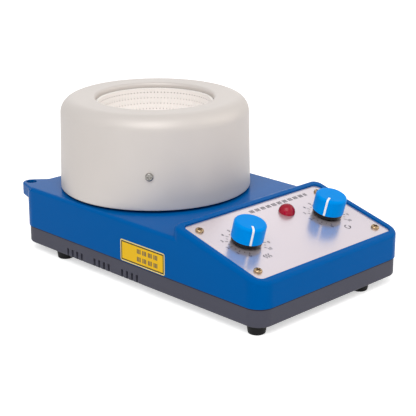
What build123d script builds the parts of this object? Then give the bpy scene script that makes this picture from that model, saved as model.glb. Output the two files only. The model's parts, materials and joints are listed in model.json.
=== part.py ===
from build123d import *
import os
from math import cos, radians, sin, sqrt, tan

os.makedirs("parts", exist_ok=True)

# Electric heating mantle with magnetic stirrer, for a 250 ml round flask.
# Millimetres.  +Z is up, -Y is the front with the sloped control panel, and the
# origin lies on the bench under the middle of the overall box.

# ---------------------------------------------------------------- housing
HOUSING_WIDTH = 151.3
HOUSING_LENGTH = 252.4
FOOT_HEIGHT = 6.0
TRAY_HEIGHT = 13.7            # underside of the tray to the seam
DECK_RISE = 31.1              # seam to the flat deck
RIDGE_RISE = 9.3              # deck to the sharp corner of the bezel's ridge
BEZEL_LENGTH = 83.8
PANEL_SLOPE = 14.8            # degrees
WALL = 2.5
CORNER_R = 12.5
BEZEL_REAR_R = 7.0
DECK_EDGE_R = 2.7
BEZEL_EDGE_R = 2.6
TRAY_STEP = 0.75              # the tray stands this far inside the upper housing
TRAY_EDGE_R = 1.8
LIP_THICK = 1.2
LIP_RISE = 3.0
FIT_GAP = 0.2                 # between moulded parts that slide together
SEAT_GAP = 0.3                # between a part and the one that surrounds it
EDGE_SHRINK = 0.8             # share of an inset taken off an edge radius inside it

# ---------------------------------------------------------------- support rod lug
LUG_R = 6.8
LUG_OFFSET = 1.8              # lug axis behind the rear wall
LUG_SIDE = 11.4               # lug axis in from the left wall
LUG_HEIGHT = 13.4
LUG_TAPER = 4.2
ROD_BORE_R = 4.05
ROD_BORE_DEPTH = 11.0         # blind, so that a rod stops above the rear wall
LUG_EDGE_R = 1.2
LUG_FLARE = 9.0               # the ear's right flank meets the rear wall this far beyond it

# ---------------------------------------------------------------- pot
POT_R = 73.0
POT_TAPER = 1.3               # the wall is this much narrower at the shoulder
POT_HEIGHT = 68.4
POT_SHOULDER_BEND = 11.6
POT_SHEET = 1.5
POT_GAP = 2.0                 # daylight between deck and pot
POT_INSET = 71.7              # pot axis ahead of the rear wall
OPENING_R = 45.0
LIP_BEND = 2.5
LIP_DEPTH = 5.1
POT_SCREW_RISE = 25.4
POT_SCREW_ANGLES = (-136, -16, 104)
BASE_SHEET = 1.5
SPACER_HEIGHT = 2.5
SPACER_R = 5.0
BASE_BOLT_GAP = 9.94          # bolt ring outside the bracket's bosses
BASE_BOLT_ANGLES = (90, 210, 330)
BASE_BOLT_R = 2.0
TAB_WIDTH = 14.0
TAB_ABOVE_SCREW = 6.0
SHAFT_PASSAGE_R = 10.0

# ---------------------------------------------------------------- heating bowl
BOWL_R = 43.5
BOWL_THICK = 3.0
BOWL_FLANGE_INSET = 4.0       # flange edge in from where the shoulder begins
INSULATION_GAP = 1.9          # between the felt and the pot's wall
INSULATION_WEB = 2.0          # felt left between the bowl and the rotor pocket
ROTOR_POCKET_R = 30.0
LEAD_R = 1.2
LEAD_PITCH = 8.0
LEAD_INSET = 5.5              # leads leave the bowl this far inside its front edge
LEAD_BUSH_R = 9.0
LEAD_BUSH_THICK = 1.6

# ---------------------------------------------------------------- stirrer
MOTOR_R = 20.0
MOTOR_HEIGHT = 24.0
MOTOR_BOSS_R = 6.0
MOTOR_BORE_FLOOR = 6.0
MOTOR_EDGE_R = 1.5
MOTOR_SCREW_REACH = 4.0
SHAFT_R = 2.5
RUNNING_GAP = 0.05
BRACKET_WIDTH = 72.0
BRACKET_DEPTH = 52.0
BRACKET_SHEET = 2.0
BRACKET_DROP = 3.6            # deck underside to bracket
BRACKET_BOSS_R = 4.0
BRACKET_HOLE_X = 30.0
BRACKET_HOLE_Y = 20.0
MOTOR_SCREW_X = 13.0
CARRIER_LENGTH = 50.0
CARRIER_WIDTH = 15.0
CARRIER_THICK = 2.5
CARRIER_CLEARANCE = 1.5
MAGNET_R = 6.5
MAGNET_HEIGHT = 4.2
MAGNET_X = 16.5

# ---------------------------------------------------------------- control panel
PANEL_THICK = 1.0
PANEL_SUNK = 1.3              # panel face below the bezel's rim
PANEL_SIDE_RIM = 5.5
PANEL_FRONT_RIM = 5.7
PANEL_REAR_RIM = 6.2
PANEL_CORNER_R = 5.0
PANEL_EDGE = 0.3              # bevel round the plate's face
KNOB_INSET = 27.7             # knob axes in from the panel's sides
KNOB_UP = 39.5                # up the slope from the panel's front edge
PANEL_SCREW_INSET = 8.3
PANEL_SCREW_PITCH_UP = 56.3
PANEL_SCREW_UP = 37.5
LAMP_X = 16.8
LAMP_UP = 56.1

# ---------------------------------------------------------------- knobs and potentiometers
CAP_R = 11.4
CAP_TOP = 16.6                # above the panel face
CAP_BOTTOM = 4.2
CAP_EDGE_R = 1.9
CAP_WALL = 1.5
CAP_ROOF = 2.2
POINTER_WIDTH = 1.5
POINTER_DEPTH = 0.5
POINTER_START = 5.9
SKIRT_R = 10.9
SKIRT_BOTTOM = 0.8
SKIRT_BEVEL = 0.8
BUSH_R = 4.5
KNOB_POCKET_R = 7.0
KNOB_POCKET_TOP = 3.4
DIAL_SHAFT_R = 3.0
DIAL_SHAFT_FLAT = 1.5         # depth of the D flat
DIAL_SHAFT_TOP = 12.5
DIAL_SHAFT_TAIL = 3.0         # length of shaft inside the can
HEAT_POINTER_ANGLE = 145.0    # anticlockwise from up the slope
SPEED_POINTER_ANGLE = 115.0
POT_CAN_R = 8.2
POT_CAN_DEPTH = 9.0
POT_BUSHING_R = 3.5
POT_BUSHING_TOP = 2.6
POT_TAG_LENGTH = 6.0
POT_TAG_PITCH = 4.0
POT_TAG_WIDTH = 1.6
POT_TAG_THICK = 0.6
DIAL_NUT_FLATS = 10.0
DIAL_NUT_THICK = 2.2

# ---------------------------------------------------------------- indicator lamp
LENS_R = 6.1
LENS_HEIGHT = 6.2
LENS_COLLAR = 0.8
LENS_STEM_R = 3.6
LENS_STEM_LENGTH = 6.0
LAMP_BODY_R = 4.5
LAMP_BODY_LENGTH = 20.0
LAMP_NUT_FLATS = 12.0
LAMP_NUT_THICK = 3.0

# ---------------------------------------------------------------- feet, screws and label
FOOT_TOP_R = 6.8
FOOT_BOTTOM_R = 5.9
FOOT_EDGE_R = 1.0
FOOT_LEFT_INSET = 9.2
FOOT_RIGHT_INSET = 34.5
FOOT_FRONT_INSET = 11.0
FOOT_REAR_INSET = 41.0
FOOT_RECESS_R = 3.4
FOOT_RECESS = 3.2
SCREW_R = 1.5
HEAD_R = 3.0
HEAD_HEIGHT = 1.7
HEAD_EDGE_SHARE = 0.6         # rounded part of the head's height
RECESS_SHARE = 0.66           # reach of the cross recess in head radii
RECESS_FLOOR_SHARE = 0.3      # height left under it
RECESS_WIDTH = 0.9
NUT_FLATS = 5.5
NUT_THICK = 2.4
CASE_SCREW_INSET = 11.3
CASE_SCREW_FRONT = 29.0
CASE_SCREW_REAR = 18.0
CASE_SCREW_REACH = 10.0       # length of screw above the seam
BOSS_R = 4.5
BOARD_PILLAR_R = 3.5
LABEL_LENGTH = 46.2
LABEL_HEIGHT = 16.2
LABEL_THICK = 0.3
LABEL_FRONT = 89.9            # front wall to the label's front edge
LABEL_ABOVE_SEAM = 0.5
LABEL_CORNER_R = 1.5

# ---------------------------------------------------------------- vents
VENT_WIDTH = 2.2
VENT_PITCH = 5.35
VENTS_PER_GROUP = 4
VENT_GROUPS = 3
VENT_GROUP_PITCH = 30.9
VENT_RISE = 6.5
VENT_UNDER = 5.0              # how far each slot runs under the floor
VENT_CENTRE = 93.6            # middle group ahead of the rear wall

# ---------------------------------------------------------------- mains inlet
INLET_X = 30.0
INLET_FLANGE_WIDTH = 50.0
INLET_FLANGE_HEIGHT = 22.4
INLET_FLANGE_THICK = 2.4
INLET_CORNER_R = 4.0
INLET_BODY_WIDTH = 27.0
INLET_BODY_HEIGHT = 19.4
INLET_BODY_DEPTH = 19.0
INLET_SOCKET_WIDTH = 24.2
INLET_SOCKET_HEIGHT = 16.4
INLET_SOCKET_DEPTH = 15.5
INLET_SCREW_PITCH = 40.0
INLET_PIN_WIDTH = 4.0
INLET_PIN_THICK = 2.0
INLET_PIN_SPREAD = 7.0
INLET_PIN_RISE = 2.0
INLET_PIN_SHORT = 4.5         # pin tips stay this far inside the mouth
INLET_TAG = 8.0
INLET_RISE = 15.4             # inlet axis above the seam

# ---------------------------------------------------------------- circuit board
BOARD_WIDTH = 104.0
BOARD_DEPTH = 58.0
BOARD_THICK = 1.6
BOARD_PILLAR = 5.0
BOARD_FRONT = 26.0            # front wall to the board's front edge
BOARD_HOLE_INSET = 4.5
SINK_WIDTH = 34.0
SINK_DEPTH = 12.0
SINK_HEIGHT = 15.0
SINK_BASE = 3.0
SINK_FINS = 6
FIN_THICK = 1.4
TRIAC_SIZE = (10.2, 4.4, 12.0)
SINK_AT = (-28.0, 8.0)        # places on the board, from its centre
CORE_SIZE = (28.0, 11.0, 17.0)
COIL_SIZE = (17.4, 22.0, 13.6)
COIL_EDGE_R = 3.0
TRANSFORMER_AT = (26.0, 12.0)
FUSE_R = 2.6
FUSE_LENGTH = 20.0
FUSE_CAP = 5.5                # length of each metal end cap
FUSE_RISE = 1.5               # daylight between fuse and board
FUSE_AT = (28.0, -16.0)
CLIP_SIDE = 0.8
CLIP_RISE = 5.6
CLIP_MOUTH = 4.2
CAPACITOR_R = 5.0
CAPACITOR_HEIGHT = 13.0
CAPACITOR_AT = (0.0, -14.0)

# ---------------------------------------------------------------- terminal block
BLOCK_WIDTH = 24.0
BLOCK_DEPTH = 14.0
BLOCK_HEIGHT = 14.0
BLOCK_SLOT = 1.6              # groove between the two ways
BLOCK_WELL = 7.0              # depth of the lead wells

# ---------------------------------------------------------------- derived places
OVERALL_LENGTH = HOUSING_LENGTH + LUG_OFFSET + LUG_R
Y_FRONT = -OVERALL_LENGTH / 2
Y_REAR = Y_FRONT + HOUSING_LENGTH
Y_MID = (Y_FRONT + Y_REAR) / 2
X_SIDE = HOUSING_WIDTH / 2
Z_TRAY = FOOT_HEIGHT
Z_FLOOR = Z_TRAY + WALL
Z_SEAM = Z_TRAY + TRAY_HEIGHT
Z_DECK = Z_SEAM + DECK_RISE
Z_CEILING = Z_DECK - WALL
Z_RIDGE = Z_DECK + RIDGE_RISE
SLOPE_TAN = tan(radians(PANEL_SLOPE))
Z_BEZEL_FRONT = Z_RIDGE - BEZEL_LENGTH * SLOPE_TAN
POT_Y = Y_REAR - POT_INSET
POT_SHOULDER_R = POT_R - POT_TAPER
POT_FLAT_R = POT_SHOULDER_R - POT_SHOULDER_BEND
BASE_BOLT_RING = sqrt(BRACKET_HOLE_X ** 2 + BRACKET_HOLE_Y ** 2) + BRACKET_BOSS_R + BASE_BOLT_GAP
BOWL_FLANGE_R = POT_FLAT_R - BOWL_FLANGE_INSET
INSULATION_R = POT_SHOULDER_R - POT_SHEET - INSULATION_GAP
Z_POT = Z_DECK + POT_GAP
Z_TOP = Z_POT + POT_HEIGHT
Z_LIP = Z_TOP - LIP_DEPTH
Z_BASE = Z_DECK + SPACER_HEIGHT
Z_BASE_TOP = Z_BASE + BASE_SHEET
Z_POT_SCREW = Z_POT + POT_SCREW_RISE
Z_FLANGE_TOP = Z_LIP - SEAT_GAP
Z_BOWL = Z_FLANGE_TOP - BOWL_THICK
Z_POCKET = Z_BOWL - BOWL_R - BOWL_THICK - SEAT_GAP - INSULATION_WEB
Z_BRACKET = Z_CEILING - BRACKET_DROP
Z_MOTOR = Z_BRACKET - BRACKET_SHEET
Z_CARRIER = Z_BASE_TOP + CARRIER_CLEARANCE
Z_BOARD = Z_FLOOR + BOARD_PILLAR
Z_BOARD_TOP = Z_BOARD + BOARD_THICK
BOARD_Y = Y_FRONT + BOARD_FRONT + BOARD_DEPTH / 2
PANEL_RECESS = PANEL_SUNK + PANEL_THICK
BEZEL_SLOPE_LENGTH = BEZEL_LENGTH / cos(radians(PANEL_SLOPE))
PANEL_WIDTH = HOUSING_WIDTH - 2 * PANEL_SIDE_RIM
PANEL_LENGTH = BEZEL_SLOPE_LENGTH - PANEL_FRONT_RIM - PANEL_REAR_RIM
PANEL_SCREW_PITCH_X = PANEL_WIDTH - 2 * PANEL_SCREW_INSET
KNOB_PITCH = PANEL_WIDTH - 2 * KNOB_INSET
LUG_ROOT_X = -X_SIDE + LUG_SIDE + LUG_R + LUG_FLARE
CASE_SCREW_X = X_SIDE - CASE_SCREW_INSET
LEAD_Y = POT_Y - BOWL_R + LEAD_INSET
INLET_Z = Z_SEAM + INLET_RISE
Y_VENTS = Y_REAR - VENT_CENTRE
Y_LABEL = Y_FRONT + LABEL_FRONT + LABEL_LENGTH / 2
Z_LABEL = Z_SEAM + LABEL_ABOVE_SEAM + LABEL_HEIGHT / 2
LABEL_FACE = Plane(origin=(-X_SIDE, Y_LABEL, Z_LABEL), x_dir=(0, -1, 0), z_dir=(-1, 0, 0))

# Local frame of the sloped panel: x to the right, y up the slope from the panel's
# front edge, z out of the panel from its face.
SLOPE_NORMAL = (0, -sin(radians(PANEL_SLOPE)), cos(radians(PANEL_SLOPE)))
BEZEL_PLANE = Plane(origin=(0, Y_FRONT, Z_BEZEL_FRONT), x_dir=(1, 0, 0), z_dir=SLOPE_NORMAL)
PANEL = BEZEL_PLANE.location * Pos(0, PANEL_FRONT_RIM, -PANEL_SUNK)
BEZEL_UNDERSIDE = -PANEL_THICK - WALL
HEAT_KNOB = PANEL * Pos(-KNOB_PITCH / 2, KNOB_UP, 0)
SPEED_KNOB = PANEL * Pos(KNOB_PITCH / 2, KNOB_UP, 0)
LAMP = PANEL * Pos(LAMP_X, LAMP_UP, 0)
POT = Pos(0, POT_Y, 0)


# ---------------------------------------------------------------- helpers
def cylinder(radius, low, high):
    """Upright cylinder between two heights."""
    return Pos(0, 0, (low + high) / 2) * Cylinder(radius, high - low)


def block(x, y, z):
    """Box given by its (low, high) pairs."""
    centre = Pos((x[0] + x[1]) / 2, (y[0] + y[1]) / 2, (z[0] + z[1]) / 2)
    return centre * Box(x[1] - x[0], y[1] - y[0], z[1] - z[0])


def turned(*outline):
    """Solid of revolution about Z from edges drawn as (radius, height)."""
    return revolve(Plane.XZ * make_face(outline), Axis.Z, 360)


def hexagon_nut(flats, thick, bore_r):
    """Hexagon nut standing on z = 0."""
    body = extrude(RegularPolygon(flats / 2, 6, major_radius=False), thick)
    return body - cylinder(bore_r, -1, thick + 1)


def screw(head_r, head_height, shank_r, length):
    """Pan-head cross-recess screw, head above z = 0 and shank below."""
    rim = cylinder(head_r, 0, head_height).edges().group_by(Axis.Z)[-1]
    head = fillet(rim, head_height * HEAD_EDGE_SHARE)
    reach = head_r * RECESS_SHARE
    floor = head_height * RECESS_FLOOR_SHARE
    slot = block((-reach, reach), (-RECESS_WIDTH / 2, RECESS_WIDTH / 2), (floor, head_height + 1))
    return head - slot - Rot(0, 0, 90) * slot + cylinder(shank_r, -length, 0)


def several(places, shape):
    """The same solid at each of the places, kept as separate solids."""
    return Compound([place * shape for place in places])


def outward(angle, radius, height):
    """Frame at the pot's side whose z points radially outwards."""
    return POT * Rot(0, 0, angle) * Pos(radius, 0, height) * Rot(0, 90, 0)


# ---------------------------------------------------------------- places that repeat
CASE_SCREWS = [
    Pos(side * CASE_SCREW_X, y, 0)
    for side in (-1, 1)
    for y in (Y_FRONT + CASE_SCREW_FRONT, Y_REAR - CASE_SCREW_REAR)
]
FEET = {
    "foot_front_left": Pos(-X_SIDE + FOOT_LEFT_INSET, Y_FRONT + FOOT_FRONT_INSET, 0),
    "foot_front_right": Pos(X_SIDE - FOOT_RIGHT_INSET, Y_FRONT + FOOT_FRONT_INSET, 0),
    "foot_rear_left": Pos(-X_SIDE + FOOT_LEFT_INSET, Y_REAR - FOOT_REAR_INSET, 0),
    "foot_rear_right": Pos(X_SIDE - FOOT_RIGHT_INSET, Y_REAR - FOOT_REAR_INSET, 0),
}
PANEL_SCREWS = [
    PANEL * Pos(dx * PANEL_SCREW_PITCH_X / 2, PANEL_SCREW_UP + dy * PANEL_SCREW_PITCH_UP / 2, 0)
    for dx in (-1, 1)
    for dy in (-1, 1)
]
BASE_BOLTS = [POT * Rot(0, 0, a) * Pos(BASE_BOLT_RING, 0, 0) for a in BASE_BOLT_ANGLES]
BRACKET_HOLES = [
    Pos(dx * BRACKET_HOLE_X, POT_Y + dy * BRACKET_HOLE_Y, 0) for dx in (-1, 1) for dy in (-1, 1)
]
MOTOR_SCREWS = [POT * Pos(dx * MOTOR_SCREW_X, 0, 0) for dx in (-1, 1)]
BOARD_HOLES = [
    Pos(dx * (BOARD_WIDTH / 2 - BOARD_HOLE_INSET), BOARD_Y + dy * (BOARD_DEPTH / 2 - BOARD_HOLE_INSET), 0)
    for dx in (-1, 1)
    for dy in (-1, 1)
]
LEADS = [Pos(dx * LEAD_PITCH / 2, LEAD_Y, 0) for dx in (-1, 1)]
INLET = Pos(INLET_X, Y_REAR, INLET_Z) * Rot(-90, 0, 0)   # z points out of the rear wall
INLET_SCREWS = [INLET * Pos(dx * INLET_SCREW_PITCH / 2, 0, INLET_FLANGE_THICK) for dx in (-1, 1)]


# ---------------------------------------------------------------- upper housing
def bezel_outline(width, length, front_r, rear_r):
    """Plan of the bezel block: wide corners in front, tighter ones behind."""
    plan = Rectangle(width, length)
    plan = fillet(plan.vertices().group_by(Axis.Y)[0], front_r)
    return fillet(plan.vertices().group_by(Axis.Y)[-1], rear_r)


def housing_form(inset, slope_drop):
    """Solid form of the upper housing, drawn in by inset, its slope lowered by slope_drop."""
    width = HOUSING_WIDTH - 2 * inset
    plan = RectangleRounded(width, HOUSING_LENGTH - 2 * inset, CORNER_R - inset)
    deck = extrude(Pos(0, Y_MID, Z_SEAM) * plan, DECK_RISE - inset)
    deck = fillet(deck.edges().group_by(Axis.Z)[-1], DECK_EDGE_R - inset * EDGE_SHRINK)
    y_join = Y_FRONT + BEZEL_LENGTH - 2 * CORNER_R
    deck -= block((-X_SIDE, X_SIDE), (Y_FRONT, y_join), (Z_SEAM, Z_DECK))
    outline = bezel_outline(width, BEZEL_LENGTH - 2 * inset, CORNER_R - inset, BEZEL_REAR_R - inset)
    bezel = extrude(Pos(0, Y_FRONT + BEZEL_LENGTH / 2, Z_SEAM) * outline, DECK_RISE + RIDGE_RISE)
    above = Box(2 * HOUSING_WIDTH, 2 * BEZEL_SLOPE_LENGTH, HOUSING_WIDTH)
    bezel -= BEZEL_PLANE.location * Pos(0, BEZEL_SLOPE_LENGTH / 2, HOUSING_WIDTH / 2 - slope_drop) * above
    slope = bezel.faces().filter_by(lambda face: face.normal_at().Z > 0.9)[0]
    bezel = fillet(slope.edges(), BEZEL_EDGE_R - inset * EDGE_SHRINK)
    return deck + bezel


def rod_lug():
    """Ear for the support rod, flush with the deck: its sides run out of the left and rear walls,
    and a cone under it leads back to the corner."""
    axis = Pos(-X_SIDE + LUG_SIDE, Y_REAR + LUG_OFFSET, 0)
    left = Edge.make_line((-X_SIDE, Y_REAR - CORNER_R, 0), (-X_SIDE + CORNER_R, Y_REAR - CORNER_R, 0))
    rear = Edge.make_line((-X_SIDE + CORNER_R, Y_REAR - WALL, 0), (LUG_ROOT_X, Y_REAR - WALL, 0))
    plan = make_face(make_hull([left, rear, (axis * Circle(LUG_R)).edge()]))
    ear = extrude(Pos(0, 0, Z_DECK - LUG_HEIGHT + LUG_TAPER) * plan, LUG_HEIGHT - LUG_TAPER)
    ear = fillet(ear.edges().group_by(Axis.Z)[-1], LUG_EDGE_R)
    cone = Cone(LUG_R - LUG_TAPER, LUG_R, LUG_TAPER)
    ear += axis * Pos(0, 0, Z_DECK - LUG_HEIGHT + LUG_TAPER / 2) * cone
    return ear, axis * cylinder(ROD_BORE_R, Z_DECK - ROD_BORE_DEPTH, Z_DECK + 1)


def upper_housing():
    outer = housing_form(0, 0)
    shell = outer - housing_form(WALL, PANEL_RECESS + WALL)
    ear, bore = rod_lug()
    shell += ear
    within = housing_form(WALL / 2, PANEL_RECESS + WALL / 2)
    pillars = [place * cylinder(BOSS_R, Z_SEAM, Z_RIDGE) for place in CASE_SCREWS]
    pillars += [place * cylinder(BRACKET_BOSS_R, Z_BRACKET, Z_DECK - WALL / 2) for place in BRACKET_HOLES]
    for pillar in pillars:
        shell += pillar & within
    for place in PANEL_SCREWS:
        shell += place * cylinder(BOSS_R, BEZEL_UNDERSIDE - WALL, -PANEL_THICK) & within
    pocket = RectangleRounded(PANEL_WIDTH + FIT_GAP, PANEL_LENGTH + FIT_GAP, PANEL_CORNER_R)
    shell -= PANEL * Pos(0, PANEL_LENGTH / 2, -PANEL_THICK) * extrude(pocket, PANEL_RECESS + 1)
    shell -= bore
    for place in CASE_SCREWS:
        shell -= place * cylinder(SCREW_R, Z_SEAM - 1, Z_SEAM + CASE_SCREW_REACH)
    for place in BRACKET_HOLES:
        shell -= place * cylinder(SCREW_R, Z_BRACKET - 1, Z_CEILING + WALL / 2)
    for place in PANEL_SCREWS:
        shell -= place * cylinder(SCREW_R, BEZEL_UNDERSIDE - WALL - 1, 0)
    for place in (HEAT_KNOB, SPEED_KNOB):
        shell -= place * cylinder(POT_BUSHING_R + FIT_GAP, BEZEL_UNDERSIDE - 1, 0)
    shell -= LAMP * cylinder(LAMP_BODY_R + FIT_GAP, BEZEL_UNDERSIDE - 1, 0)
    for place in BASE_BOLTS:
        shell -= place * cylinder(BASE_BOLT_R + FIT_GAP, Z_CEILING - 1, Z_DECK + 1)
    shell -= POT * cylinder(SHAFT_PASSAGE_R, Z_CEILING - 1, Z_DECK + 1)
    shell -= Pos(0, LEAD_Y, 0) * cylinder(LEAD_BUSH_R, Z_CEILING - 1, Z_DECK + 1)
    shell -= INLET * Box(INLET_BODY_WIDTH + 2 * FIT_GAP, INLET_BODY_HEIGHT + 2 * FIT_GAP, 4 * WALL)
    for place in INLET_SCREWS:
        shell -= place * cylinder(SCREW_R, -4 * WALL, 0)
    recess = RectangleRounded(LABEL_LENGTH + FIT_GAP, LABEL_HEIGHT + FIT_GAP, LABEL_CORNER_R)
    return shell - extrude(LABEL_FACE * recess, -LABEL_THICK)


# ---------------------------------------------------------------- lower tray
def tray_block(inset, low, high):
    plan = RectangleRounded(HOUSING_WIDTH - 2 * inset, HOUSING_LENGTH - 2 * inset, CORNER_R - inset)
    return extrude(Pos(0, Y_MID, low) * plan, high - low)


def vent_slots():
    """Upright slots in groups on both long sides, running on under the floor."""
    slots = []
    reach = X_SIDE - TRAY_STEP
    for group in range(VENT_GROUPS):
        for slot in range(VENTS_PER_GROUP):
            y = Y_VENTS + (group - (VENT_GROUPS - 1) / 2) * VENT_GROUP_PITCH
            y += (slot - (VENTS_PER_GROUP - 1) / 2) * VENT_PITCH
            span = (y - VENT_WIDTH / 2, y + VENT_WIDTH / 2)
            rise = (Z_TRAY - 1, Z_TRAY + VENT_RISE)
            slots.append(block((-reach - 1, -reach + VENT_UNDER), span, rise))
            slots.append(block((reach - VENT_UNDER, reach + 1), span, rise))
    return slots


def lower_tray():
    lip_inset = WALL + FIT_GAP
    tray = tray_block(TRAY_STEP, Z_TRAY, Z_SEAM)
    tray = fillet(tray.edges().group_by(Axis.Z)[0], TRAY_EDGE_R)
    tray -= tray_block(TRAY_STEP + WALL, Z_FLOOR, Z_SEAM)
    lip = tray_block(lip_inset, Z_SEAM - LIP_RISE, Z_SEAM + LIP_RISE)
    tray += lip - tray_block(lip_inset + LIP_THICK, Z_SEAM - LIP_RISE, Z_SEAM + LIP_RISE)
    for slot in vent_slots():
        tray -= slot
    for place in CASE_SCREWS:
        tray += place * cylinder(BOSS_R, Z_FLOOR, Z_SEAM)
        tray -= place * cylinder(SCREW_R + FIT_GAP, Z_TRAY - 1, Z_SEAM + 1)
        tray -= place * cylinder(HEAD_R + SEAT_GAP, Z_TRAY - 1, Z_FLOOR)
    for place in FEET.values():
        tray += place * cylinder(BOSS_R, Z_FLOOR, Z_FLOOR + WALL)
        tray -= place * cylinder(SCREW_R, Z_TRAY - 1, Z_FLOOR + WALL + 1)
    for place in BOARD_HOLES:
        tray += place * cylinder(BOARD_PILLAR_R, Z_FLOOR, Z_BOARD)
        tray -= place * cylinder(SCREW_R, Z_FLOOR, Z_BOARD + 1)
    return tray


# ---------------------------------------------------------------- feet and housing screws
def foot():
    """Tapered rubber foot with a recess for its screw."""
    body = Solid.make_cone(FOOT_BOTTOM_R, FOOT_TOP_R, FOOT_HEIGHT)
    body = fillet(body.edges().group_by(Axis.Z)[0], FOOT_EDGE_R)
    body -= cylinder(FOOT_RECESS_R, -1, FOOT_RECESS)
    return body - cylinder(SCREW_R, 0, FOOT_HEIGHT + 1)


def foot_screws():
    length = FOOT_HEIGHT - FOOT_RECESS + 2 * WALL
    one = Rot(180, 0, 0) * screw(HEAD_R, HEAD_HEIGHT, SCREW_R, length)
    return several([place * Pos(0, 0, FOOT_RECESS) for place in FEET.values()], one)


def case_screws():
    one = Rot(180, 0, 0) * screw(HEAD_R, HEAD_HEIGHT, SCREW_R, Z_SEAM + CASE_SCREW_REACH - 1 - Z_FLOOR)
    return several([place * Pos(0, 0, Z_FLOOR) for place in CASE_SCREWS], one)


def side_label():
    """Plain sticker, flush in its shallow recess in the left wall."""
    sticker = RectangleRounded(LABEL_LENGTH, LABEL_HEIGHT, LABEL_CORNER_R)
    return extrude(LABEL_FACE * sticker, -LABEL_THICK)


# ---------------------------------------------------------------- pot
def pot_wall_r(height):
    """Outer radius of the tapered wall at a height."""
    share = (height - Z_POT) / (POT_HEIGHT - POT_SHOULDER_BEND)
    return POT_R + (POT_SHOULDER_R - POT_R) * share


def quarter(centre, radius, start):
    """Quarter arc about a point, counted from its starting angle."""
    return CenterArc(centre, radius, start, 90)


def pot_shell():
    """Spun sheet pot: tapered wall, rolled shoulder, flat rim and turned-down lip."""
    z_bend = Z_TOP - POT_SHOULDER_BEND
    r_flat = POT_FLAT_R
    r_lip = OPENING_R + LIP_BEND
    z_turn = Z_TOP - LIP_BEND
    inner_r = OPENING_R + POT_SHEET
    shell = POT * turned(
        Line((POT_R - POT_SHEET, Z_POT), (POT_R, Z_POT)),
        Line((POT_R, Z_POT), (POT_SHOULDER_R, z_bend)),
        quarter((r_flat, z_bend), POT_SHOULDER_BEND, 0),
        Line((r_flat, Z_TOP), (r_lip, Z_TOP)),
        quarter((r_lip, z_turn), LIP_BEND, 90),
        Line((OPENING_R, z_turn), (OPENING_R, Z_LIP)),
        Line((OPENING_R, Z_LIP), (inner_r, Z_LIP)),
        Line((inner_r, Z_LIP), (inner_r, z_turn)),
        quarter((r_lip, z_turn), LIP_BEND - POT_SHEET, 90),
        Line((r_lip, Z_TOP - POT_SHEET), (r_flat, Z_TOP - POT_SHEET)),
        quarter((r_flat, z_bend), POT_SHOULDER_BEND - POT_SHEET, 0),
        Line((POT_SHOULDER_R - POT_SHEET, z_bend), (POT_R - POT_SHEET, Z_POT)),
    )
    for angle in POT_SCREW_ANGLES:
        shell -= outward(angle, POT_R, Z_POT_SCREW) * cylinder(SCREW_R + FIT_GAP, -4 * POT_SHEET, 1)
    return shell


def tab_face():
    """Distance from the pot's axis to the outer face of each upright tab."""
    inside = pot_wall_r(Z_POT_SCREW + TAB_ABOVE_SCREW) - POT_SHEET - SEAT_GAP
    return sqrt(inside ** 2 - (TAB_WIDTH / 2) ** 2)


def pot_base_plate():
    """Pressed steel base: disc with three upright tabs that carry the pot's side screws."""
    plate = POT * cylinder(POT_R - POT_SHEET - SEAT_GAP, Z_BASE, Z_BASE_TOP)
    outer = tab_face()
    tab_top = Z_POT_SCREW + TAB_ABOVE_SCREW
    for angle in POT_SCREW_ANGLES:
        tab = block((outer - BASE_SHEET, outer), (-TAB_WIDTH / 2, TAB_WIDTH / 2), (Z_BASE, tab_top))
        plate += POT * Rot(0, 0, angle) * tab
        plate -= outward(angle, outer, Z_POT_SCREW) * cylinder(SCREW_R, -2 * BASE_SHEET, 1)
    for place in BASE_BOLTS:
        plate -= place * cylinder(BASE_BOLT_R, Z_BASE - 1, Z_BASE_TOP + 1)
    plate -= POT * cylinder(SHAFT_PASSAGE_R, Z_BASE - 1, Z_BASE_TOP + 1)
    return plate - Pos(0, LEAD_Y, 0) * cylinder(LEAD_BUSH_R, Z_BASE - 1, Z_BASE_TOP + 1)


def pot_screws():
    seat = pot_wall_r(Z_POT_SCREW - HEAD_R)
    one = screw(HEAD_R, HEAD_HEIGHT, SCREW_R, seat - tab_face() + BASE_SHEET + NUT_THICK)
    return several([outward(a, seat, Z_POT_SCREW) for a in POT_SCREW_ANGLES], one)


def pot_screw_nuts():
    nut = hexagon_nut(NUT_FLATS, NUT_THICK, SCREW_R)
    inner = tab_face() - BASE_SHEET - NUT_THICK
    return several([outward(a, inner, Z_POT_SCREW) for a in POT_SCREW_ANGLES], nut)


def base_spacers():
    ring = cylinder(SPACER_R, Z_DECK, Z_BASE) - cylinder(BASE_BOLT_R, Z_DECK - 1, Z_BASE + 1)
    return several(BASE_BOLTS, ring)


def base_bolts():
    length = Z_BASE_TOP - Z_CEILING + NUT_THICK + 1
    one = Pos(0, 0, Z_BASE_TOP) * screw(HEAD_R * BASE_BOLT_R / SCREW_R, HEAD_HEIGHT, BASE_BOLT_R, length)
    return several(BASE_BOLTS, one)


def base_nuts():
    nut = hexagon_nut(NUT_FLATS * BASE_BOLT_R / SCREW_R, NUT_THICK, BASE_BOLT_R)
    return several(BASE_BOLTS, Pos(0, 0, Z_CEILING - NUT_THICK) * nut)


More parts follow.
